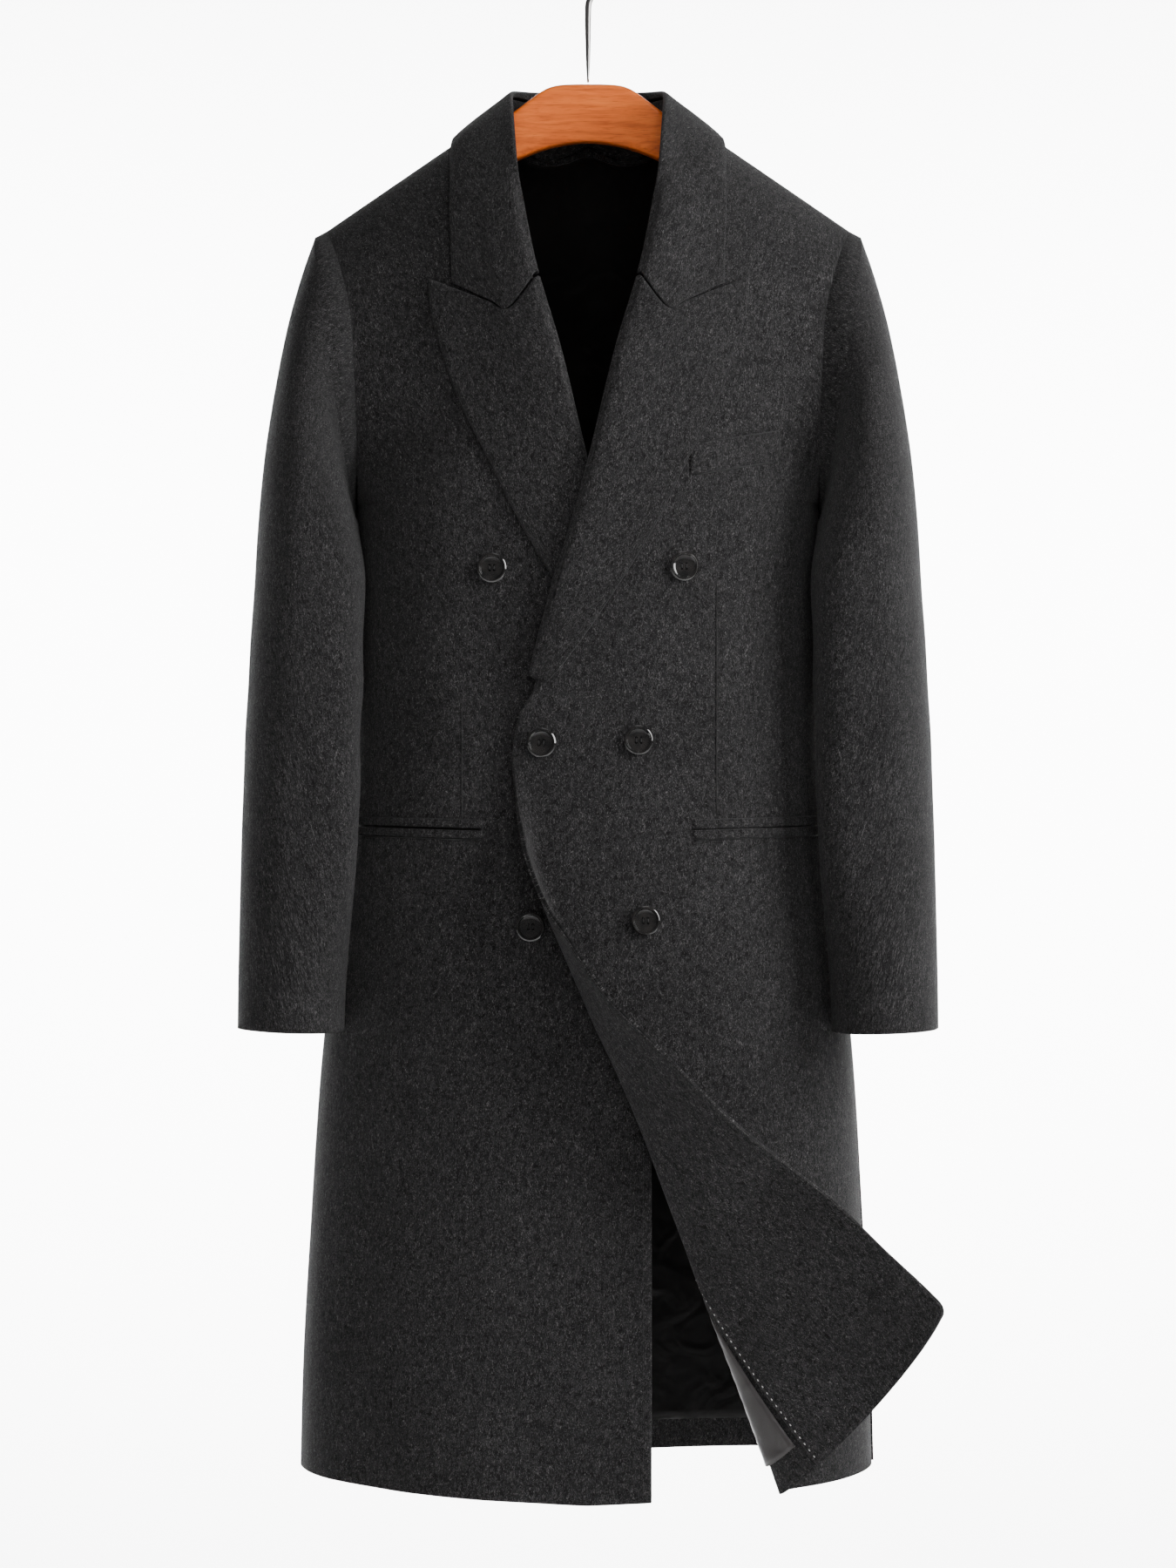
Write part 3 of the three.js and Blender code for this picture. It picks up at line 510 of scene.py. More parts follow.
def spline(control, n):
    """Catmull-Rom curves through the control points of each row: (rows, m, 3) to (rows, n, 3)."""
    m = control.shape[1]
    first = 2 * control[:, :1] - control[:, 1:2]
    last = 2 * control[:, -1:] - control[:, -2:-1]
    c = np.concatenate([first, control, last], axis=1)
    s = np.linspace(0, m - 1, n)
    i = np.minimum(s.astype(int), m - 2)
    t = (s - i)[None, :, None]
    p0, p1, p2, p3 = (c[:, i + k] for k in range(4))
    return 0.5 * (
        2 * p1 + (p2 - p0) * t + (2 * p0 - 5 * p1 + 4 * p2 - p3) * t**2 + (3 * p1 - p0 - 3 * p2 + p3) * t**3
    )


# Materials
def principled(name, **values):
    mat = bpy.data.materials.new(name)
    mat.use_nodes = True
    node = mat.node_tree.nodes["Principled BSDF"]
    for key, value in values.items():
        node.inputs[key.replace("_", " ")].default_value = value
    return mat, node


class Wires:
    """Adds nodes to a material and joins their sockets."""

    def __init__(self, mat):
        self.tree = mat.node_tree

    def add(self, kind, inputs=(), **settings):
        node = self.tree.nodes.new(kind)
        for key, value in settings.items():
            setattr(node, key, value)
        for key, value in dict(inputs).items():
            if isinstance(value, bpy.types.NodeSocket):
                self.tree.links.new(value, node.inputs[key])
            else:
                node.inputs[key].default_value = value
        return node

    def ramp(self, value, *stops):
        node = self.add("ShaderNodeValToRGB", {"Fac": value})
        ends = node.color_ramp.elements
        while len(ends) < len(stops):
            ends.new(0.5)
        for end, (at, color) in zip(ends, stops):
            end.position = at
            end.color = (*color, 1)
        return node.outputs["Color"]

    def noise(self, at, scale, detail, distortion=0.0):
        inputs = {"Vector": at, "Scale": scale, "Detail": detail, "Distortion": distortion}
        return self.add("ShaderNodeTexNoise", inputs).outputs["Fac"]

    def stretched(self, at, scale, turn=0.0):
        inputs = {"Vector": at, "Scale": scale, "Rotation": (0, 0, turn)}
        return self.add("ShaderNodeMapping", inputs).outputs["Vector"]

    def times(self, a, b):
        node = self.add("ShaderNodeMix", {0: 1.0, 6: a, 7: b}, data_type="RGBA", blend_type="MULTIPLY")
        return node.outputs[2]

    def join(self, socket, target):
        self.tree.links.new(socket, target)


def wool(name, tone=1.0):
    """Melange coating: a dark ground in tufts, fine pale fibres lying both ways, a short nap; a tone above 1
    makes a lighter copy, as painted light.
    """
    mat, node = principled(name, Roughness=0.95)
    w = Wires(mat)
    uv = w.add("ShaderNodeTexCoord").outputs["UV"]
    one_way = w.noise(w.stretched(uv, (760, 300, 1), 0.5), 1.0, 3.0, 2.2)
    other_way = w.noise(w.stretched(uv, (820, 340, 1), -0.8), 1.0, 3.0, 2.2)
    fibre = w.add("ShaderNodeMath", {0: one_way, 1: other_way}, operation="MAXIMUM").outputs[0]
    tuft = w.noise(w.stretched(uv, (300, 210, 1), 0.35), 1.0, 5.0, 1.0)
    cloud = w.noise(uv, 14.0, 3.0)
    shade = [c * tone for c in (0.0016, 0.0015, 0.0016)]
    light = [c * tone for c in (0.0145, 0.014, 0.0146)]
    pale = [c * tone for c in (0.12, 0.116, 0.116)]
    ground = w.ramp(tuft, (0.32, shade), (0.66, light))
    flecks = w.ramp(fibre, (0.57, (0, 0, 0)), (0.8, (1, 1, 1)))
    mixed = w.add("ShaderNodeMix", {0: flecks, 6: ground, 7: (*pale, 1)}, data_type="RGBA")
    uneven = w.ramp(cloud, (0.3, (0.86, 0.86, 0.86)), (0.7, (1.1, 1.1, 1.1)))
    w.join(w.times(mixed.outputs[2], uneven), node.inputs["Base Color"])
    both = w.add("ShaderNodeMath", {0: fibre, 1: tuft}, operation="ADD")
    bump = w.add("ShaderNodeBump", {"Height": both.outputs[0], "Strength": 0.55, "Distance": 0.0012})
    w.join(bump.outputs["Normal"], node.inputs["Normal"])
    node.inputs["Sheen Weight"].default_value = 0.05
    node.inputs["Sheen Roughness"].default_value = 0.6
    node.inputs["Specular IOR Level"].default_value = 0.12
    return mat


def lining(name, tone=1.0):
    """Dark satin, softly crumpled, with a fine cross weave; a tone below 1 darkens it and dims its
    reflection, as painted shade.
    """
    mat, node = principled(name, Roughness=0.42)
    w = Wires(mat)
    uv = w.add("ShaderNodeTexCoord").outputs["UV"]
    weave = w.add("ShaderNodeTexWave", {"Vector": uv, "Scale": 900.0, "Distortion": 0.4, "Detail": 1.0})
    dark = [c * tone for c in (0.020, 0.0176, 0.0174)]
    pale = [c * tone for c in (0.042, 0.0374, 0.037)]
    color = w.ramp(w.noise(uv, 9.0, 3.0), (0.3, dark), (0.75, pale))
    w.join(color, node.inputs["Base Color"])
    crumple = {"Height": w.noise(uv, 26.0, 1.5, 1.4), "Strength": 0.55, "Distance": 0.006}
    soft = w.add("ShaderNodeBump", crumple).outputs["Normal"]
    cross = {"Height": weave.outputs["Fac"], "Strength": 0.15, "Distance": 0.0002, "Normal": soft}
    w.join(w.add("ShaderNodeBump", cross).outputs["Normal"], node.inputs["Normal"])
    node.inputs["Sheen Weight"].default_value = 0.1
    node.inputs["Anisotropic"].default_value = 0.4
    node.inputs["Specular IOR Level"].default_value = 0.35 * min(tone + 0.1, 1)
    return mat


def horn(name):
    """Polished near-black button stock with a faint brown cloud."""
    mat, node = principled(name, Roughness=0.09)
    w = Wires(mat)
    at = w.add("ShaderNodeTexCoord").outputs["Object"]
    black, brown = (0.006, 0.006, 0.006), (0.02, 0.018, 0.017)
    w.join(w.ramp(w.noise(at, 160.0, 3.0), (0.35, black), (0.8, brown)), node.inputs["Base Color"])
    node.inputs["Coat Weight"].default_value = 0.7
    node.inputs["Coat Roughness"].default_value = 0.06
    return mat


def beech(name):
    """Orange-brown varnished wood, the grain along the bar."""
    mat, node = principled(name, Roughness=0.34)
    w = Wires(mat)
    at = w.add("ShaderNodeTexCoord").outputs["Object"]
    grain = w.noise(w.stretched(at, (5, 60, 60)), 4.0, 6.0, 0.8)
    pores = w.noise(w.stretched(at, (40, 900, 900)), 2.0, 2.0)
    dark, middle, light = (0.38, 0.066, 0.006), (0.63, 0.118, 0.010), (0.77, 0.176, 0.022)
    color = w.ramp(grain, (0.25, dark), (0.5, middle), (0.8, light))
    specks = w.ramp(pores, (0.3, (0.7, 0.62, 0.55)), (0.45, (1, 1, 1)))
    w.join(w.times(color, specks), node.inputs["Base Color"])
    node.inputs["Coat Weight"].default_value = 0.12
    node.inputs["Coat Roughness"].default_value = 0.25
    node.inputs["Specular IOR Level"].default_value = 0.3
    return mat


def steel(name):
    """Drawn wire, its fine marks along the rod."""
    mat, node = principled(name, Roughness=0.32, Metallic=1.0)
    w = Wires(mat)
    at = w.add("ShaderNodeTexCoord").outputs["Object"]
    marks = w.noise(w.stretched(at, (900, 900, 12)), 1.0, 3.0)
    w.join(w.ramp(marks, (0.3, (0.3, 0.29, 0.28)), (0.7, (0.46, 0.45, 0.44))), node.inputs["Base Color"])
    return mat


WOOL = wool("wool coating")
# The coating a little lighter for the facing on the turned-back flap: painted light
FACING_LIGHTENED_WOOL = wool("wool facing lightened as painted light", 1.12)
# The coating at nearly twice its tone: a painted highlight along the lapels' rolled edges
EDGE_HIGHLIGHT_WOOL = wool("wool lightened as a painted edge highlight", 1.9)
SATIN = lining("lining satin")
# The lining satin at an eighth of its tone: painted shade, for the lining inside the back and the pocket
# slits
PAINTED_SHADE_SATIN = lining("lining satin darkened as painted shade", 0.12)
HORN = horn("button stock")
WOOD = beech("varnished wood")
STEEL = steel("steel wire")
# Dark thread for the stitches and button threads, also for the rods that paint shade along the darts, jets
# and welt
THREAD, _ = principled("sewing thread and painted seam shade", Base_Color=(0.012, 0.012, 0.012, 1), Roughness=0.8)
PALE_THREAD, _ = principled("pick thread", Base_Color=(0.42, 0.41, 0.40, 1), Roughness=0.7)


def stand_for(obj, node):
    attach(obj, "root")
    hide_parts(node)
    return obj


# Sewing: lines are taken from the grids of the cloth itself
def beside(p, n, distance, lift):
    """The line on the cloth at a distance inside its last column."""
    q = p[:, ::-1]
    m = n[:, ::-1]
    gap = np.cumsum(np.linalg.norm(np.diff(q, axis=1), axis=2), axis=1)
    gap = np.concatenate([0 * gap[:, :1], gap], axis=1)
    k = np.array([np.searchsorted(row, distance) for row in gap]).clip(1, p.shape[1] - 1)
    i = np.arange(len(p))
    t = ((distance - gap[i, k - 1]) / (gap[i, k] - gap[i, k - 1]))[:, None]
    return mix(q[i, k - 1], q[i, k], t) + m[i, k] * lift


def resampled(line, at):
    run = np.concatenate([[0], np.cumsum(np.linalg.norm(np.diff(line, axis=0), axis=1))])
    return np.stack([np.interp(at, run, line[:, c]) for c in range(3)], axis=1)


def length_of(line):
    return np.linalg.norm(np.diff(line, axis=0), axis=1).sum()


def stitches(name, line, long, every, radius, material):
    """Short stitches one after another along a line on the cloth."""
    starts = np.arange(every / 2, length_of(line) - long, every)
    rows = [resampled(line, start + long * steps(3)) for start in starts]
    return sewing(tubes(name, rows, radius, material, ring=6))


# A continuous rod along a line: dark ones for seams with painted shade in their joins, a lightened one as
# the lapels' painted edge highlight
def continuous_rod(name, line, radius, material):
    count = int(length_of(line) / 5) + 2
    even = resampled(line, np.linspace(0, length_of(line), count))
    return sewing(tubes(name, [even], radius, material, ring=6))


def sewing(obj):
    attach(obj, "root")
    return obj


# The panels
CORNER = 9.0
ROWS = np.concatenate(
    [
        HEM_Z + CORNER * (1 - np.cos(QUARTER * steps(7)))[:-1],
        steps(196, HEM_Z + CORNER, UNDERARM_Z),
        UNDERARM_Z + (TIP_Z - UNDERARM_Z) * (1 - np.cos(math.pi * steps(56)))[1:] / 2,
    ]
)


def settle(p, n, side):
    """Soft troughs and ridges of the hanging skirt, as moves along the normal."""
    x, _, z = np.moveaxis(p, -1, 0)
    skirt = ease(-800, -1150, z)
    drape = 1.3 * np.sin(x * 0.043 + 0.9 * side) + 0.8 * np.sin(x * 0.091 - 1.3 + z * 0.0021)
    return p + n * (drape * skirt)[..., None]


def dart(p, n, x0, top, foot):
    """A stitched dart: a fine valley from its top to its foot."""
    x, _, z = np.moveaxis(p, -1, 0)
    along = ease(foot, foot + 30, z) * (1 - ease(top - 30, top, z))
    valley = 1.1 * np.exp(-(((x - x0) / 1.5) ** 2)) - 0.45 * np.exp(-(((np.abs(x - x0) - 5) / 3.5) ** 2))
    return p - n * (valley * along)[..., None]


def side_soften(p, n, edge_distance):
    """Cloth rolls down towards its edge."""
    return p - n * (0.8 * np.exp(-edge_distance / (7 / 2.4)))[..., None]


def right_front():
    turn_edge = edge_turn(-1, ROWS)
    t = steps(84)
    turns = mix(QUARTER, turn_edge[:, None], t[None, :])
    p, n = body(-turns, ROWS[:, None], -1)
    p[..., 1] += lap_inset(-1, p[..., 0], p[..., 2])
    p = settle(dart(p, n, -101, -640, -742), n, -1)
    p = side_soften(p, n, (1 - t)[None, :] * 260 + 0 * p[..., 0])
    edge = beside(p, n, 6, ON_CLOTH)
    sewn = [
        # A dark rod along the dart: its seam, and painted shade in the dart's valley
        continuous_rod("right_dart_seam_and_painted_shade", front_line(-1, (-101, -642), (-101, -741), ON_CLOTH), 0.38, THREAD),
        stitches("right_edge_stitching", edge[:150], STITCH, STITCH_EVERY, 0.24, THREAD),
    ]
    return stand_for(shell("coat_right_front", p, n, WOOL), "right_front")


def front_line(side, start, end, out):
    """A line on a front between two places seen from the front."""
    t = steps(40)
    return on_front(side, mix(start[0], end[0], t), mix(start[1], end[1], t), out)


def left_front_grid():
    half = half_at(ROWS)
    edge = np.where(ROWS < CREASE["z"][0], left_edge_x(ROWS), half * np.sin(edge_turn(1, ROWS)))
    short = np.clip(CORNER - (ROWS - HEM_Z), 0, CORNER)
    edge = edge + CORNER - np.sqrt(CORNER**2 - short**2)
    facing = np.maximum(FACING_EDGE, edge + 40)
    a = np.sin(mix(QUARTER, np.arcsin(facing / half)[:, None], steps(SIDE_COLUMNS)[None, :])) * half[:, None]
    b = mix(facing[:, None], edge[:, None], steps(60)[None, 1:])
    across = np.concatenate([a, b], axis=1)
    return left_front(across, ROWS[:, None])


def left_fronts():
    p, n = left_front_grid()
    outer = settle(dart(p, n, 103, -540, -742), n, 1)
    front = shell("coat_left_front", outer, n, WOOL)
    top = int(np.searchsorted(ROWS, FOLD_TOP_Z))
    crease = int(np.searchsorted(ROWS, BREAK_Z - 10))
    edge = beside(p, n, 6, ON_CLOTH)
    sewn = [
        # A dark rod along the dart: its seam, and painted shade in the dart's valley
        continuous_rod("left_dart_seam_and_painted_shade", front_line(1, (103, -542), (103, -741), ON_CLOTH), 0.38, THREAD),
        stitches("left_edge_stitching", edge[top:crease], STITCH, STITCH_EVERY, 0.24, THREAD),
    ]
    stand_for(front, "left_front")
    turned = p[:top, SIDE_COLUMNS:], n[:top, SIDE_COLUMNS:]
    # The flap's facing in the lightened coating: painted light
    facing = shell("coat_left_facing", *turned, FACING_LIGHTENED_WOOL, FACING_WALL, WALL + SEAM, swell=0.3)
    under = WALL + SEAM + FACING_WALL
    seam = p[4:top, SIDE_COLUMNS + 1] - n[4:top, SIDE_COLUMNS + 1] * (under + 0.15)
    edge = beside(p, n, 6, -under - ON_CLOTH)
    sewn = [
        stitches("facing_pick_stitches", seam, 2.0, 6.2, 0.46, PALE_THREAD),
        stitches("facing_edge_stitching", edge[:top], STITCH, STITCH_EVERY, 0.24, THREAD),
    ]
    stand_for(facing, "left_front_facing")
    low = int(np.searchsorted(ROWS, HEM_Z + HEM_BAND))
    behind = p[low:top, :SIDE_COLUMNS], n[low:top, :SIDE_COLUMNS]
    lined = shell("coat_left_lining", *behind, SATIN, LINING_WALL, WALL + 1.2, swell=0.2)
    stand_for(lined, "left_front_lining")


def back_panels():
    turns = np.concatenate([-mix(QUARTER, 0, steps(56))[:-1], mix(0, QUARTER, steps(56))])
    level = np.where(
        ROWS[:, None] > UNDERARM_Z,
        mix(UNDERARM_Z, neck_level(turns)[None, :], yoke(ROWS)[:, None]),
        ROWS[:, None],
    )
    p, n = body(turns[None, :] + 0 * level, level, 1)
    stand_for(shell("coat_back", p, n, WOOL), "back")
    low = int(np.searchsorted(ROWS, HEM_Z + HEM_BAND))
    inside = p[low:-3:2, 3:-3:2], n[low:-3:2, 3:-3:2]
    # The back's lining in the darkened satin: painted shade for the inside of the coat
    lined = shell("coat_back_lining", *inside, PAINTED_SHADE_SATIN, LINING_WALL, WALL + 0.8, swell=0.2)
    stand_for(lined, "back_lining")


# Sleeves
def sleeve_rings(side, around, down):
    turn = np.linspace(0, 2 * math.pi, around, endpoint=False)
    face = np.where(np.sin(turn) > 0, -1, 1)
    row = mix(UNDERARM_Z, TIP_Z, (1 + np.cos(turn)) / 2)
    head = np.empty((around, 3))
    for f in (-1, 1):
        p = body_point(np.full(around, QUARTER), row, f)
        inner = body_point(np.full(around, QUARTER - 0.01), row, f)
        out = unit(p - inner)
        head = np.where((face == f)[:, None], p - out * 0.3, head)
    shares = np.linspace(0, 1, down)
    place = shares * (len(SLEEVE["ox"]) - 1)
    columns = {}
    for key in SLEEVE:
        columns[key] = spline(SLEEVE[key][None, :, None], down)[0, :, 0]
    middle = points((columns["ox"] + columns["ix"]) / 2, columns["y"], (columns["oz"] + columns["iz"]) / 2)
    reach = points((columns["ox"] - columns["ix"]) / 2, 0, (columns["oz"] - columns["iz"]) / 2)
    rings = middle[:, None] + reach[:, None] * np.cos(turn)[None, :, None]
    rings[..., 1] -= columns["depth"][:, None] * np.sin(turn)[None, :]
    # below the armhole the inner side lies further forward and closer to the body
    inner_side = np.maximum(0, -np.cos(turn)) ** 2
    lean = (ease(0.2, 1.7, place) * (1 - ease(8.4, 10.8, place)))[:, None] * inner_side
    rings[..., 1] -= 34 * lean
    rings[..., 0] -= (4.6 + 4.4 * ease(1.7, 4, place)[:, None]) * lean
    rings = np.concatenate([head[None], rings])
    return rings, turn, np.concatenate([[0], place])


def sleeve(side, name, node):
    rings, turn, place = sleeve_rings(side, 132, 170)
    n = grid_normals(rings, closed=True)
    if n[80, 33, 1] > 0:
        n = -n
    # soft bends at the elbow, and two long ones down the sleeve
    z = rings[..., 2]
    elbow = np.exp(-(((z - ELBOW_Z) / 90) ** 2))
    wave = np.sin(z * 0.075 + 1.6 * np.cos(turn)[None, :])
    wrinkle = 1.1 * wave * elbow * (0.5 + 0.5 * np.sin(turn - 0.7)[None, :])
    long = 0.9 * np.sin(2 * turn + z * 0.004) * ease(-420, -560, z)
    ends = ease(0, 0.6, place)[:, None] * (1 - ease(10.2, 11, place)[:, None])
    p = rings + n * ((wrinkle + long) * ends)[..., None]
    p[..., 0] *= side
    n[..., 0] *= side
    return stand_for(shell(name, p, n, WOOL, closed=True), node)


# Collar and lapels, as sections across the leaf
def leaf_sections(side, crease_x, crease_z, outer_x, outer_z, sag, lift, roll):
    """Control points of the sections: from inside the front's edge, round the roll, to the outer edge."""
    width = outer_x - crease_x
    bend = np.minimum(24, width * 0.5)

    def level(across, out):
        return on_front(side, side * (crease_x + across), crease_z, out)

    def place(across):
        dip = np.where(across < bend, across / bend, (width - across) / (width - bend))
        rise = lift + WALL + roll * (across / 13) * np.exp(1 - across / 13)
        x = side * (crease_x + across)
        return on_front(side, x, mix(crease_z, outer_z, across / width) - sag * dip, rise)

    leaf = [np.minimum(7, width * 0.3), bend] + [mix(bend, width, q) for q in (0.25, 0.5, 0.75, 1)]
    inner = [level(EDGE_INSET - 1 + 0 * width, -WALL), level(2.4 + 0 * width, -WALL)]
    inner += [level(0 * width, lift / 2), level(2.4 + 0 * width, lift + WALL)]
    return np.stack(inner + [place(a) for a in leaf], axis=1)


def lapel(side, name, node):
    t = steps(110)
    crease_z = mix(BREAK_Z + 18, GORGE_CREASE[1], t)
    edge_z = mix(BREAK_Z + 13, PEAK_Z, t)
    opened = ease(0, 0.3, t) if side > 0 else ease(0.45, 0.75, t)
    control = leaf_sections(
        side,
        read(CREASE, crease_z, "x"),
        crease_z,
        read(LAPEL_EDGE, edge_z, "x"),
        edge_z,
        GORGE_SAG * ease(0.75, 1, t) * t,
        2.4 if side > 0 else 1.2,
        5 * opened,
    )
    p = spline(control, 54)
    n = grid_normals(p) * side
    line = beside(p, n, 5.5, ON_CLOTH)[6:-3]
    sewn = [
        stitches(name + "_stitching", line, STITCH, STITCH_EVERY, 0.26, THREAD),
        # A rod along the lapel's edge: its roll, painted lighter as a highlight
        continuous_rod(name + "_rolled_edge_painted_highlight", beside(p, n, 0.4, -1.0)[3:], 1.15, EDGE_HIGHLIGHT_WOOL),
    ]
    return stand_for(shell(name, p, n, WOOL, swell=0.9), node)


def neck_seam(side, k):
    face = NECK["face"][k]
    seam = np.array(NECK["seam"][k])
    if face < 0:
        p, _ = body(side * edge_turn(1, seam), seam, -1)
    else:
        turn = side * np.arcsin(NECK_SHARE * seam)
        p, _ = body(turn, neck_level(turn), 1)
    away = unit(np.array([p[0], p[1] + 10, 0]))
    return p - away * (WALL + 0.5) + (0, 0, 0.5)


def collar_half(side):
    lift = 1.9
    t = steps(4)
    crease_z = mix(GORGE_CREASE[1] + 3.3, -236, t)
    gorge = leaf_sections(
        side,
        read(CREASE, crease_z, "x"),
        crease_z,
        mix(GORGE_NOTCH[0], 110, t),
        mix(GORGE_NOTCH[1] + 2, -248, t),
        mix(GORGE_SAG, 14, t),
        lift,
        mix(5, 6, t),
    )
    over = []
    stand = []
    for k in range(len(NECK["x"])):
        crest = np.array([side * NECK["x"][k], NECK["y"][k], NECK["z"][k]])
        seam = neck_seam(side, k)
        face = int(NECK["face"][k])
        edge = on_body(face, NECK["edge_x"][k], NECK["edge_z"][k], lift + WALL + 1) * (side, 1, 1)
        down = unit(seam - crest)
        away = unit((edge - crest) * (1, 1, 0))
        start = crest + away * 5.5 + (0, 0, -1.5)
        span = np.linalg.norm(edge - start)
        full = NECK["full"][k]
        leave = mix(edge - start, (away + (0, 0, -0.7)) * span * 0.8, full)
        land = mix(edge - start, (away * 0.35 + (0, 0, -1)) * span * 0.8, full)
        leaf = [
            start * (2 * q**3 - 3 * q**2 + 1)
            + leave * (q**3 - 2 * q**2 + q)
            + edge * (3 * q**2 - 2 * q**3)
            + land * (q**3 - q**2)
            for q in (0.12, 0.27, 0.45, 0.64, 0.82, 1)
        ]
        over.append(
            [crest + down * 8 - away * 0.4, crest + down * 3.5 - away * 0.6, crest + away * 2, start] + leaf
        )
        outward = unit(np.array([crest[0], crest[1] + 10, 0]))
        reach = np.linalg.norm(seam - crest)
        top = crest + down * 12 - outward * 0.4
        foot = crest + down * max(reach - 0.8, 13)
        stand.append([mix(top, foot, q) for q in (0, 0.5, 1)])
    return np.concatenate([gorge, np.array(over)]), np.array(stand)[1:]


def collar():
    right, right_stand = collar_half(-1)
    left, left_stand = collar_half(1)

    def fine(lines, along, across):
        grown = spline(np.swapaxes(lines, 0, 1), along)
        return spline(np.swapaxes(grown, 0, 1), across)

    p = fine(np.concatenate([right, left[:-1][::-1]]), 210, 50)
    n = -grid_normals(p)
    line = beside(p, n, 5.5, ON_CLOTH)[4:-4]
    sewn = [stitches("coat_collar_stitching", line, STITCH, STITCH_EVERY, 0.26, THREAD)]
    stand_for(shell("coat_collar_fall", p, n, WOOL, swell=0.9), "collar_fall")
    q = fine(np.concatenate([right_stand, left_stand[:-1][::-1]]), 120, 14)
    stand_for(shell("coat_collar_stand", q, grid_normals(q), WOOL), "collar_stand")


# Pockets
def strip(name, node, side, start, end, height, low, high, across=70, up=8):
    return stand_for(strip_mesh(name, side, start, end, height, low, high, WOOL, across, up), node)


def strip_mesh(name, side, start, end, height, low, high, material, across=70, up=8):
    """A band of cloth on a front, between two distances out from it."""
    q = np.sin(steps(across) * QUARTER)
    v = steps(up)[:, None]
    x = mix(start[0], end[0], q)[None, :] + 0 * v
    z = mix(start[1], end[1], q)[None, :] + height * v
    p = on_front(side, x, z, 0)
    n = unit(on_front(side, x, z, 1) - p)
    crown = (high - low) * 0.25 * (1 - (2 * v - 1) ** 2)
    crown = crown - (high - low) * 0.7 * (1 - ease(0, 0.04, q) * (1 - ease(0.96, 1, q)))
    return shell(name, p + n * (high + crown)[..., None], n, material, wall=high - low, swell=0.5)


def pockets():
    for side, word in ((-1, "right"), (1, "left")):
        near, far = (side * 85, -746.3), (side * 187, -743.7)
        # A strip of darkened satin low between the jets: painted shade in the pocket's slit
        mouth = strip_mesh(f"coat_{word}_pocket_mouth_painted_shade", side, near, far, 3.4, 0.15, 0.5, PAINTED_SHADE_SATIN)
        sewing(mouth)
        # Dark rods along the jets' outer edges: the seams, and painted shade in the joins
        for level in (-737.0, -752.6):
            line = front_line(side, (side * POCKET_NEAR, level), (side * 187, level + 2.6), 0.25)
            continuous_rod(f"coat_{word}_pocket_seam_{-level:.0f}", line, 0.75, THREAD)
        for place, foot in (("upper", -743.6), ("lower", -752.0)):
            near, far = (side * POCKET_NEAR, foot), (side * POCKET_FAR, foot + 2.6)
            node = f"{word}_pocket_{place}_jet"
            strip(f"coat_{word}_jet_{place}", node, side, near, far, JET_HEIGHT, 0.7, 2.5)
    strip("coat_breast_welt", "breast_pocket_welt", 1, (82, -461), (153, -447), 23.4, 1.2, 2.3, 40, 14)
    # Dark rods along the welt's foot, top and end: its seams, and painted shade at its edges
    for name, start, end in (
        ("foot", (86, -461), (154, -447.5)),
        ("top", (93, -435), (153.5, -423)),
        ("end", (154.2, -447), (154.2, -424)),
    ):
        continuous_rod(f"coat_welt_seam_and_painted_shade_{name}", front_line(1, start, end, 0.4), 0.8, THREAD)


# Buttons, modelled once and set down six times
def select_only(obj):
    bpy.ops.object.select_all(action="DESELECT")
    obj.select_set(True)
    bpy.context.view_layer.objects.active = obj


def button_blank():
    radius = BUTTON_RADIUS * MM
    bpy.ops.mesh.primitive_cylinder_add(vertices=64, radius=radius, depth=0.0034, location=(0, 0, 0.0019))
    disc = bpy.context.active_object
    bpy.ops.object.transform_apply(location=True)
    bpy.ops.object.mode_set(mode="EDIT")
    bpy.ops.mesh.select_mode(type="FACE")
    for part in ("bottom", "top"):
        bpy.ops.mesh.select_all(action="DESELECT")
        bpy.ops.object.mode_set(mode="OBJECT")
        for face in disc.data.polygons:
            face.select = abs(face.normal.z) > 0.9 and (face.center.z > 0.0019) == (part == "top")
        bpy.ops.object.mode_set(mode="EDIT")
        if part == "bottom":
            bpy.ops.transform.resize(value=(0.8, 0.8, 1))
            continue
        bpy.ops.mesh.inset(thickness=0.0011)
        bpy.ops.transform.translate(value=(0, 0, 0.0007))
        bpy.ops.mesh.inset(thickness=0.0009)
        bpy.ops.mesh.inset(thickness=0.0010)
        bpy.ops.transform.translate(value=(0, 0, -0.0012))
        bpy.ops.mesh.inset(thickness=0.0032)
        bpy.ops.transform.translate(value=(0, 0, -0.0006))
        bpy.ops.mesh.inset(thickness=0.0020)
    bpy.ops.object.mode_set(mode="OBJECT")
    hole = BUTTON_HOLE * MM
    for x in (-hole, hole):
        for y in (-hole, hole):
            bpy.ops.mesh.primitive_cylinder_add(
                vertices=20, radius=0.00105, depth=0.012, location=(x, y, 0.002)
            )
            drill = bpy.context.active_object
            select_only(disc)
            cut = disc.modifiers.new("hole", "BOOLEAN")
            cut.operation = "DIFFERENCE"
            cut.solver = "EXACT"
            cut.object = drill
            bpy.ops.object.modifier_apply(modifier=cut.name)
            bpy.data.objects.remove(drill)
    select_only(disc)
    soft = disc.modifiers.new("edges", "BEVEL")
    soft.width = 0.00035
    soft.segments = 3
    soft.limit_method = "ANGLE"
    soft.angle_limit = math.radians(24)
    bpy.ops.object.modifier_apply(modifier=soft.name)
    bpy.ops.object.shade_smooth()
    return disc


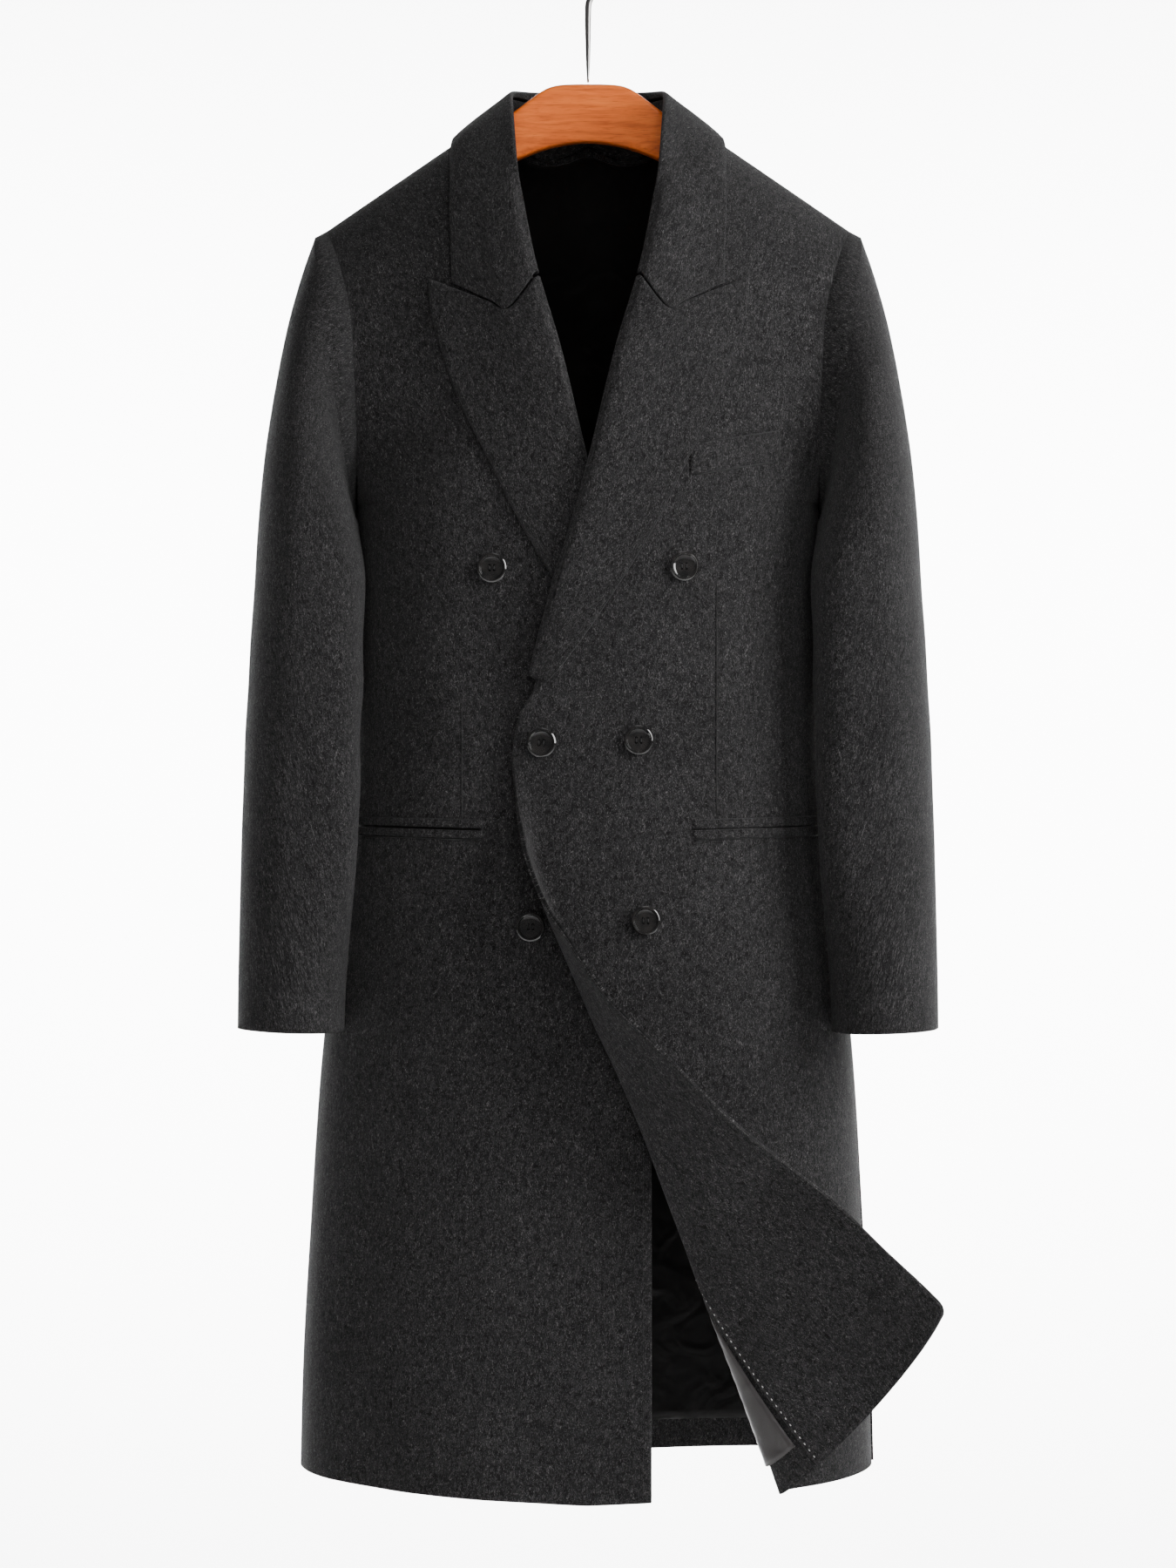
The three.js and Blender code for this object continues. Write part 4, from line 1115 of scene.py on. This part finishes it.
def buttons():
    blank = button_blank()
    knots = []
    hole = BUTTON_HOLE * MM
    bow = [(k * hole, 0.0025 + 0.0004 * (1 - k * k)) for k in np.linspace(-1, 1, 9)]
    for name, side, x, z in BUTTONS:
        dx = on_front(side, x + 8, z, 0) - on_front(side, x - 8, z, 0)
        dz = on_front(side, x, z + 8, 0) - on_front(side, x, z - 8, 0)
        n = Vector(unit(np.cross(dx, dz)))
        seat = Vector(on_front(side, x, z, 0)) + n * 0.9
        turn = n.to_track_quat("Z", "Y").to_matrix().to_4x4()
        place = Matrix.Translation(seat * MM) @ turn
        mesh = blank.data.copy()
        mesh.transform(place)
        mesh.materials.clear()
        mesh.materials.append(HORN)
        obj = bpy.data.objects.new(f"coat_{name}", mesh)
        bpy.context.collection.objects.link(obj)
        stand_for(obj, name)
        for way in (-1, 1):
            line = [place @ Vector((way * hole, y, z)) for y, z in bow]
            knots.append(np.array([tuple(v / MM) for v in line]))
    bpy.data.objects.remove(blank)
    threads = tubes("button_threads", knots, 0.45, THREAD)
    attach(threads, "root")


def tubes(name, lines, radius, material, ring=8, lift=None):
    """Closed rods along lines of points, tapering at their ends."""
    verts = []
    faces = []
    for line in lines:
        line = np.asarray(line, dtype=float)
        ahead = unit(np.gradient(line, axis=0))
        guess = np.array([0.1, 0.9, 0.3]) if lift is None else lift
        a = unit(np.cross(ahead, guess))
        b = np.cross(ahead, a)
        count = len(line)
        size = radius * np.sqrt(np.clip(1 - (2 * np.arange(count) / (count - 1) - 1) ** 8, 0.12, 1))
        turn = np.linspace(0, 2 * math.pi, ring, endpoint=False)
        base = sum(len(v) for v in verts)
        loops = line[:, None] + size[:, None, None] * (
            a[:, None] * np.cos(turn)[None, :, None] + b[:, None] * np.sin(turn)[None, :, None]
        )
        verts.append(loops.reshape(-1, 3))
        for low in range(base, base + (count - 1) * ring, ring):
            for j in range(ring):
                k = (j + 1) % ring
                faces.append([low + j, low + k, low + ring + k, low + ring + j])
        faces.append([base + j for j in range(ring)][::-1])
        faces.append([base + (count - 1) * ring + j for j in range(ring)])
    obj = make_mesh(name, np.concatenate(verts), faces, None, material)
    recalc(obj)
    return obj


# The hanger: a cube drawn out along the arm, rounded and mirrored; x, top, foot and half its depth
HANGER = (
    (24, HANGER_TOP_Z, -181, 8.2),
    (37, -133.5, -184, 8.6),
    (60, -153, -193, 10),
    (100, -180, -213, 13),
    (140, -206.5, -235, 15.5),
    (172, -228, -252, 16.5),
    (186, -237, -258, 15.5),
    (193, -243.5, -259, 11),
)


def hanger():
    bpy.ops.mesh.primitive_cube_add(size=2, location=(0, 0, 0))
    bar = bpy.context.active_object
    stations = [(0, HANGER_TOP_Z, -177, 8), *HANGER]
    bpy.ops.object.mode_set(mode="EDIT")
    bpy.ops.mesh.select_mode(type="FACE")
    bpy.ops.mesh.select_all(action="DESELECT")
    bpy.ops.object.mode_set(mode="OBJECT")
    for face in bar.data.polygons:
        face.select = face.normal.x > 0.9
    bpy.ops.object.mode_set(mode="EDIT")
    for _ in stations[2:]:
        bpy.ops.mesh.extrude_region_move(TRANSFORM_OT_translate={"value": (2, 0, 0)})
    bpy.ops.object.mode_set(mode="OBJECT")
    for vert in bar.data.vertices:
        x, top, foot, half = stations[round((vert.co.x + 1) / 2)]
        vert.co = Vector((x, math.copysign(half, vert.co.y), top if vert.co.z > 0 else foot)) * MM
    bpy.ops.object.mode_set(mode="EDIT")
    bpy.ops.mesh.select_all(action="DESELECT")
    bpy.ops.object.mode_set(mode="OBJECT")
    for face in bar.data.polygons:
        face.select = face.normal.x < -0.9
    bpy.ops.object.mode_set(mode="EDIT")
    bpy.ops.mesh.delete(type="FACE")
    bpy.ops.object.mode_set(mode="OBJECT")
    select_only(bar)
    mirror = bar.modifiers.new("mirror", "MIRROR")
    mirror.use_clip = True
    bpy.ops.object.modifier_apply(modifier=mirror.name)
    edges = bar.modifiers.new("edges", "BEVEL")
    edges.width = 0.0035
    edges.segments = 2
    edges.limit_method = "ANGLE"
    edges.angle_limit = math.radians(40)
    bpy.ops.object.modifier_apply(modifier=edges.name)
    smooth = bar.modifiers.new("smooth", "SUBSURF")
    smooth.levels = smooth.render_levels = 2
    bpy.ops.object.modifier_apply(modifier=smooth.name)
    bpy.ops.object.shade_smooth()
    bar.name = "wooden_hanger"
    bar.data.materials.clear()
    bar.data.materials.append(WOOD)
    stand_for(bar, "hanger")


def hook():
    centre = WIRE_RADIUS - HOOK_RADIUS
    bend = np.linspace(0, math.pi + 0.35, 11)
    path = [(0, HANGER_TOP_Z - 6), (0, -100), (0, -72), (1.5, -60), (11, -47), (20.5, -35)]
    path += [(HOOK_RADIUS * math.cos(a), centre + HOOK_RADIUS * math.sin(a)) for a in bend]
    control = np.array([[(x, 0, z) for x, z in path]], dtype=float)
    line = spline(control, 150)[0]
    line = line[line[:, 2] > HANGER_TOP_Z + SEAM]
    wire = tubes("steel_hook", [line], WIRE_RADIUS, STEEL, ring=24, lift=np.array([0.0, 1.0, 0.0]))
    stand_for(wire, "hanger_hook")


right_front()
left_fronts()
back_panels()
sleeve(-1, "coat_right_sleeve", "right_sleeve")
sleeve(1, "coat_left_sleeve", "left_sleeve")
lapel(-1, "coat_right_lapel", "right_lapel")
lapel(1, "coat_left_lapel", "left_lapel")
collar()
pockets()
buttons()
hanger()
hook()


SKY = 0.1
# name, place, aim, width, height, power and how widely it shines
LAMPS = (
    ("key", (1.65, -0.95, 0.0), (0.1, -0.05, -0.45), 1.0, 1.5, 62, 180),
    ("fill", (0.3, -3.4, 0.1), (0, 0, -0.7), 2.4, 2.4, 74, 180),
    ("top", (0.3, -0.6, 1.7), (0, 0, -0.4), 1.2, 1.2, 4, 180),
    ("glint", (0.5, -1.9, 0.9), (0, -0.1, -0.65), 0.12, 0.3, 4, 180),
    ("wall_left", (-3.2, 0.9, 0.2), (0, 3.2, -0.6), 2.0, 2.0, 330, 76),
    ("wall_right", (3.2, 0.9, 0.2), (0, 3.2, -0.6), 2.0, 2.0, 330, 76),
)


# Studio: a pale floor that sweeps up behind, soft light, the camera at the photograph's place
def sweep():
    """Floor and wall in one bend, so that no line runs behind the coat."""
    floor_z, wall_y, radius = -2.0, 3.2, 1.4
    bend = [
        (wall_y - radius + radius * math.sin(a), floor_z + radius * (1 - math.cos(a)))
        for a in np.linspace(0, math.pi / 2, 25)
    ]
    profile = [(-6, floor_z), (-2, floor_z), *bend, (wall_y, 4)]
    verts = [(x / MM, y / MM, z / MM) for x in (-7, 7) for y, z in profile]
    count = len(profile)
    faces = [[k, k + 1, k + 1 + count, k + count] for k in range(count - 1)]
    pale, _ = principled("studio pale", Base_Color=(0.93, 0.93, 0.93, 1), Roughness=0.9)
    floor = make_mesh("studio_floor", verts, faces, None, pale)


def studio():
    sweep()
    world = bpy.data.worlds.new("studio")
    bpy.context.scene.world = world
    world.use_nodes = True
    sky = world.node_tree.nodes["Background"]
    sky.inputs["Color"].default_value = (1, 1, 1, 1)
    sky.inputs["Strength"].default_value = SKY
    for name, spot, aim, width, height, power, spread in LAMPS:
        data = bpy.data.lights.new(name, "AREA")
        data.shape = "RECTANGLE"
        data.size = width
        data.size_y = height
        data.energy = power
        data.spread = math.radians(spread)
        lamp = bpy.data.objects.new(name, data)
        lamp.location = spot
        lamp.rotation_euler = (Vector(aim) - Vector(spot)).to_track_quat("-Z", "Y").to_euler()
        lamp.visible_glossy = name != "fill"
        bpy.context.collection.objects.link(lamp)
    lens = bpy.data.cameras.new("camera")
    lens.lens = 100
    lens.sensor_width = 36
    eye = bpy.data.objects.new("camera", lens)
    eye.location = (0, -3.6, -0.708)
    eye.rotation_euler = (QUARTER, 0, 0)
    bpy.context.collection.objects.link(eye)
    bpy.context.scene.camera = eye


studio()
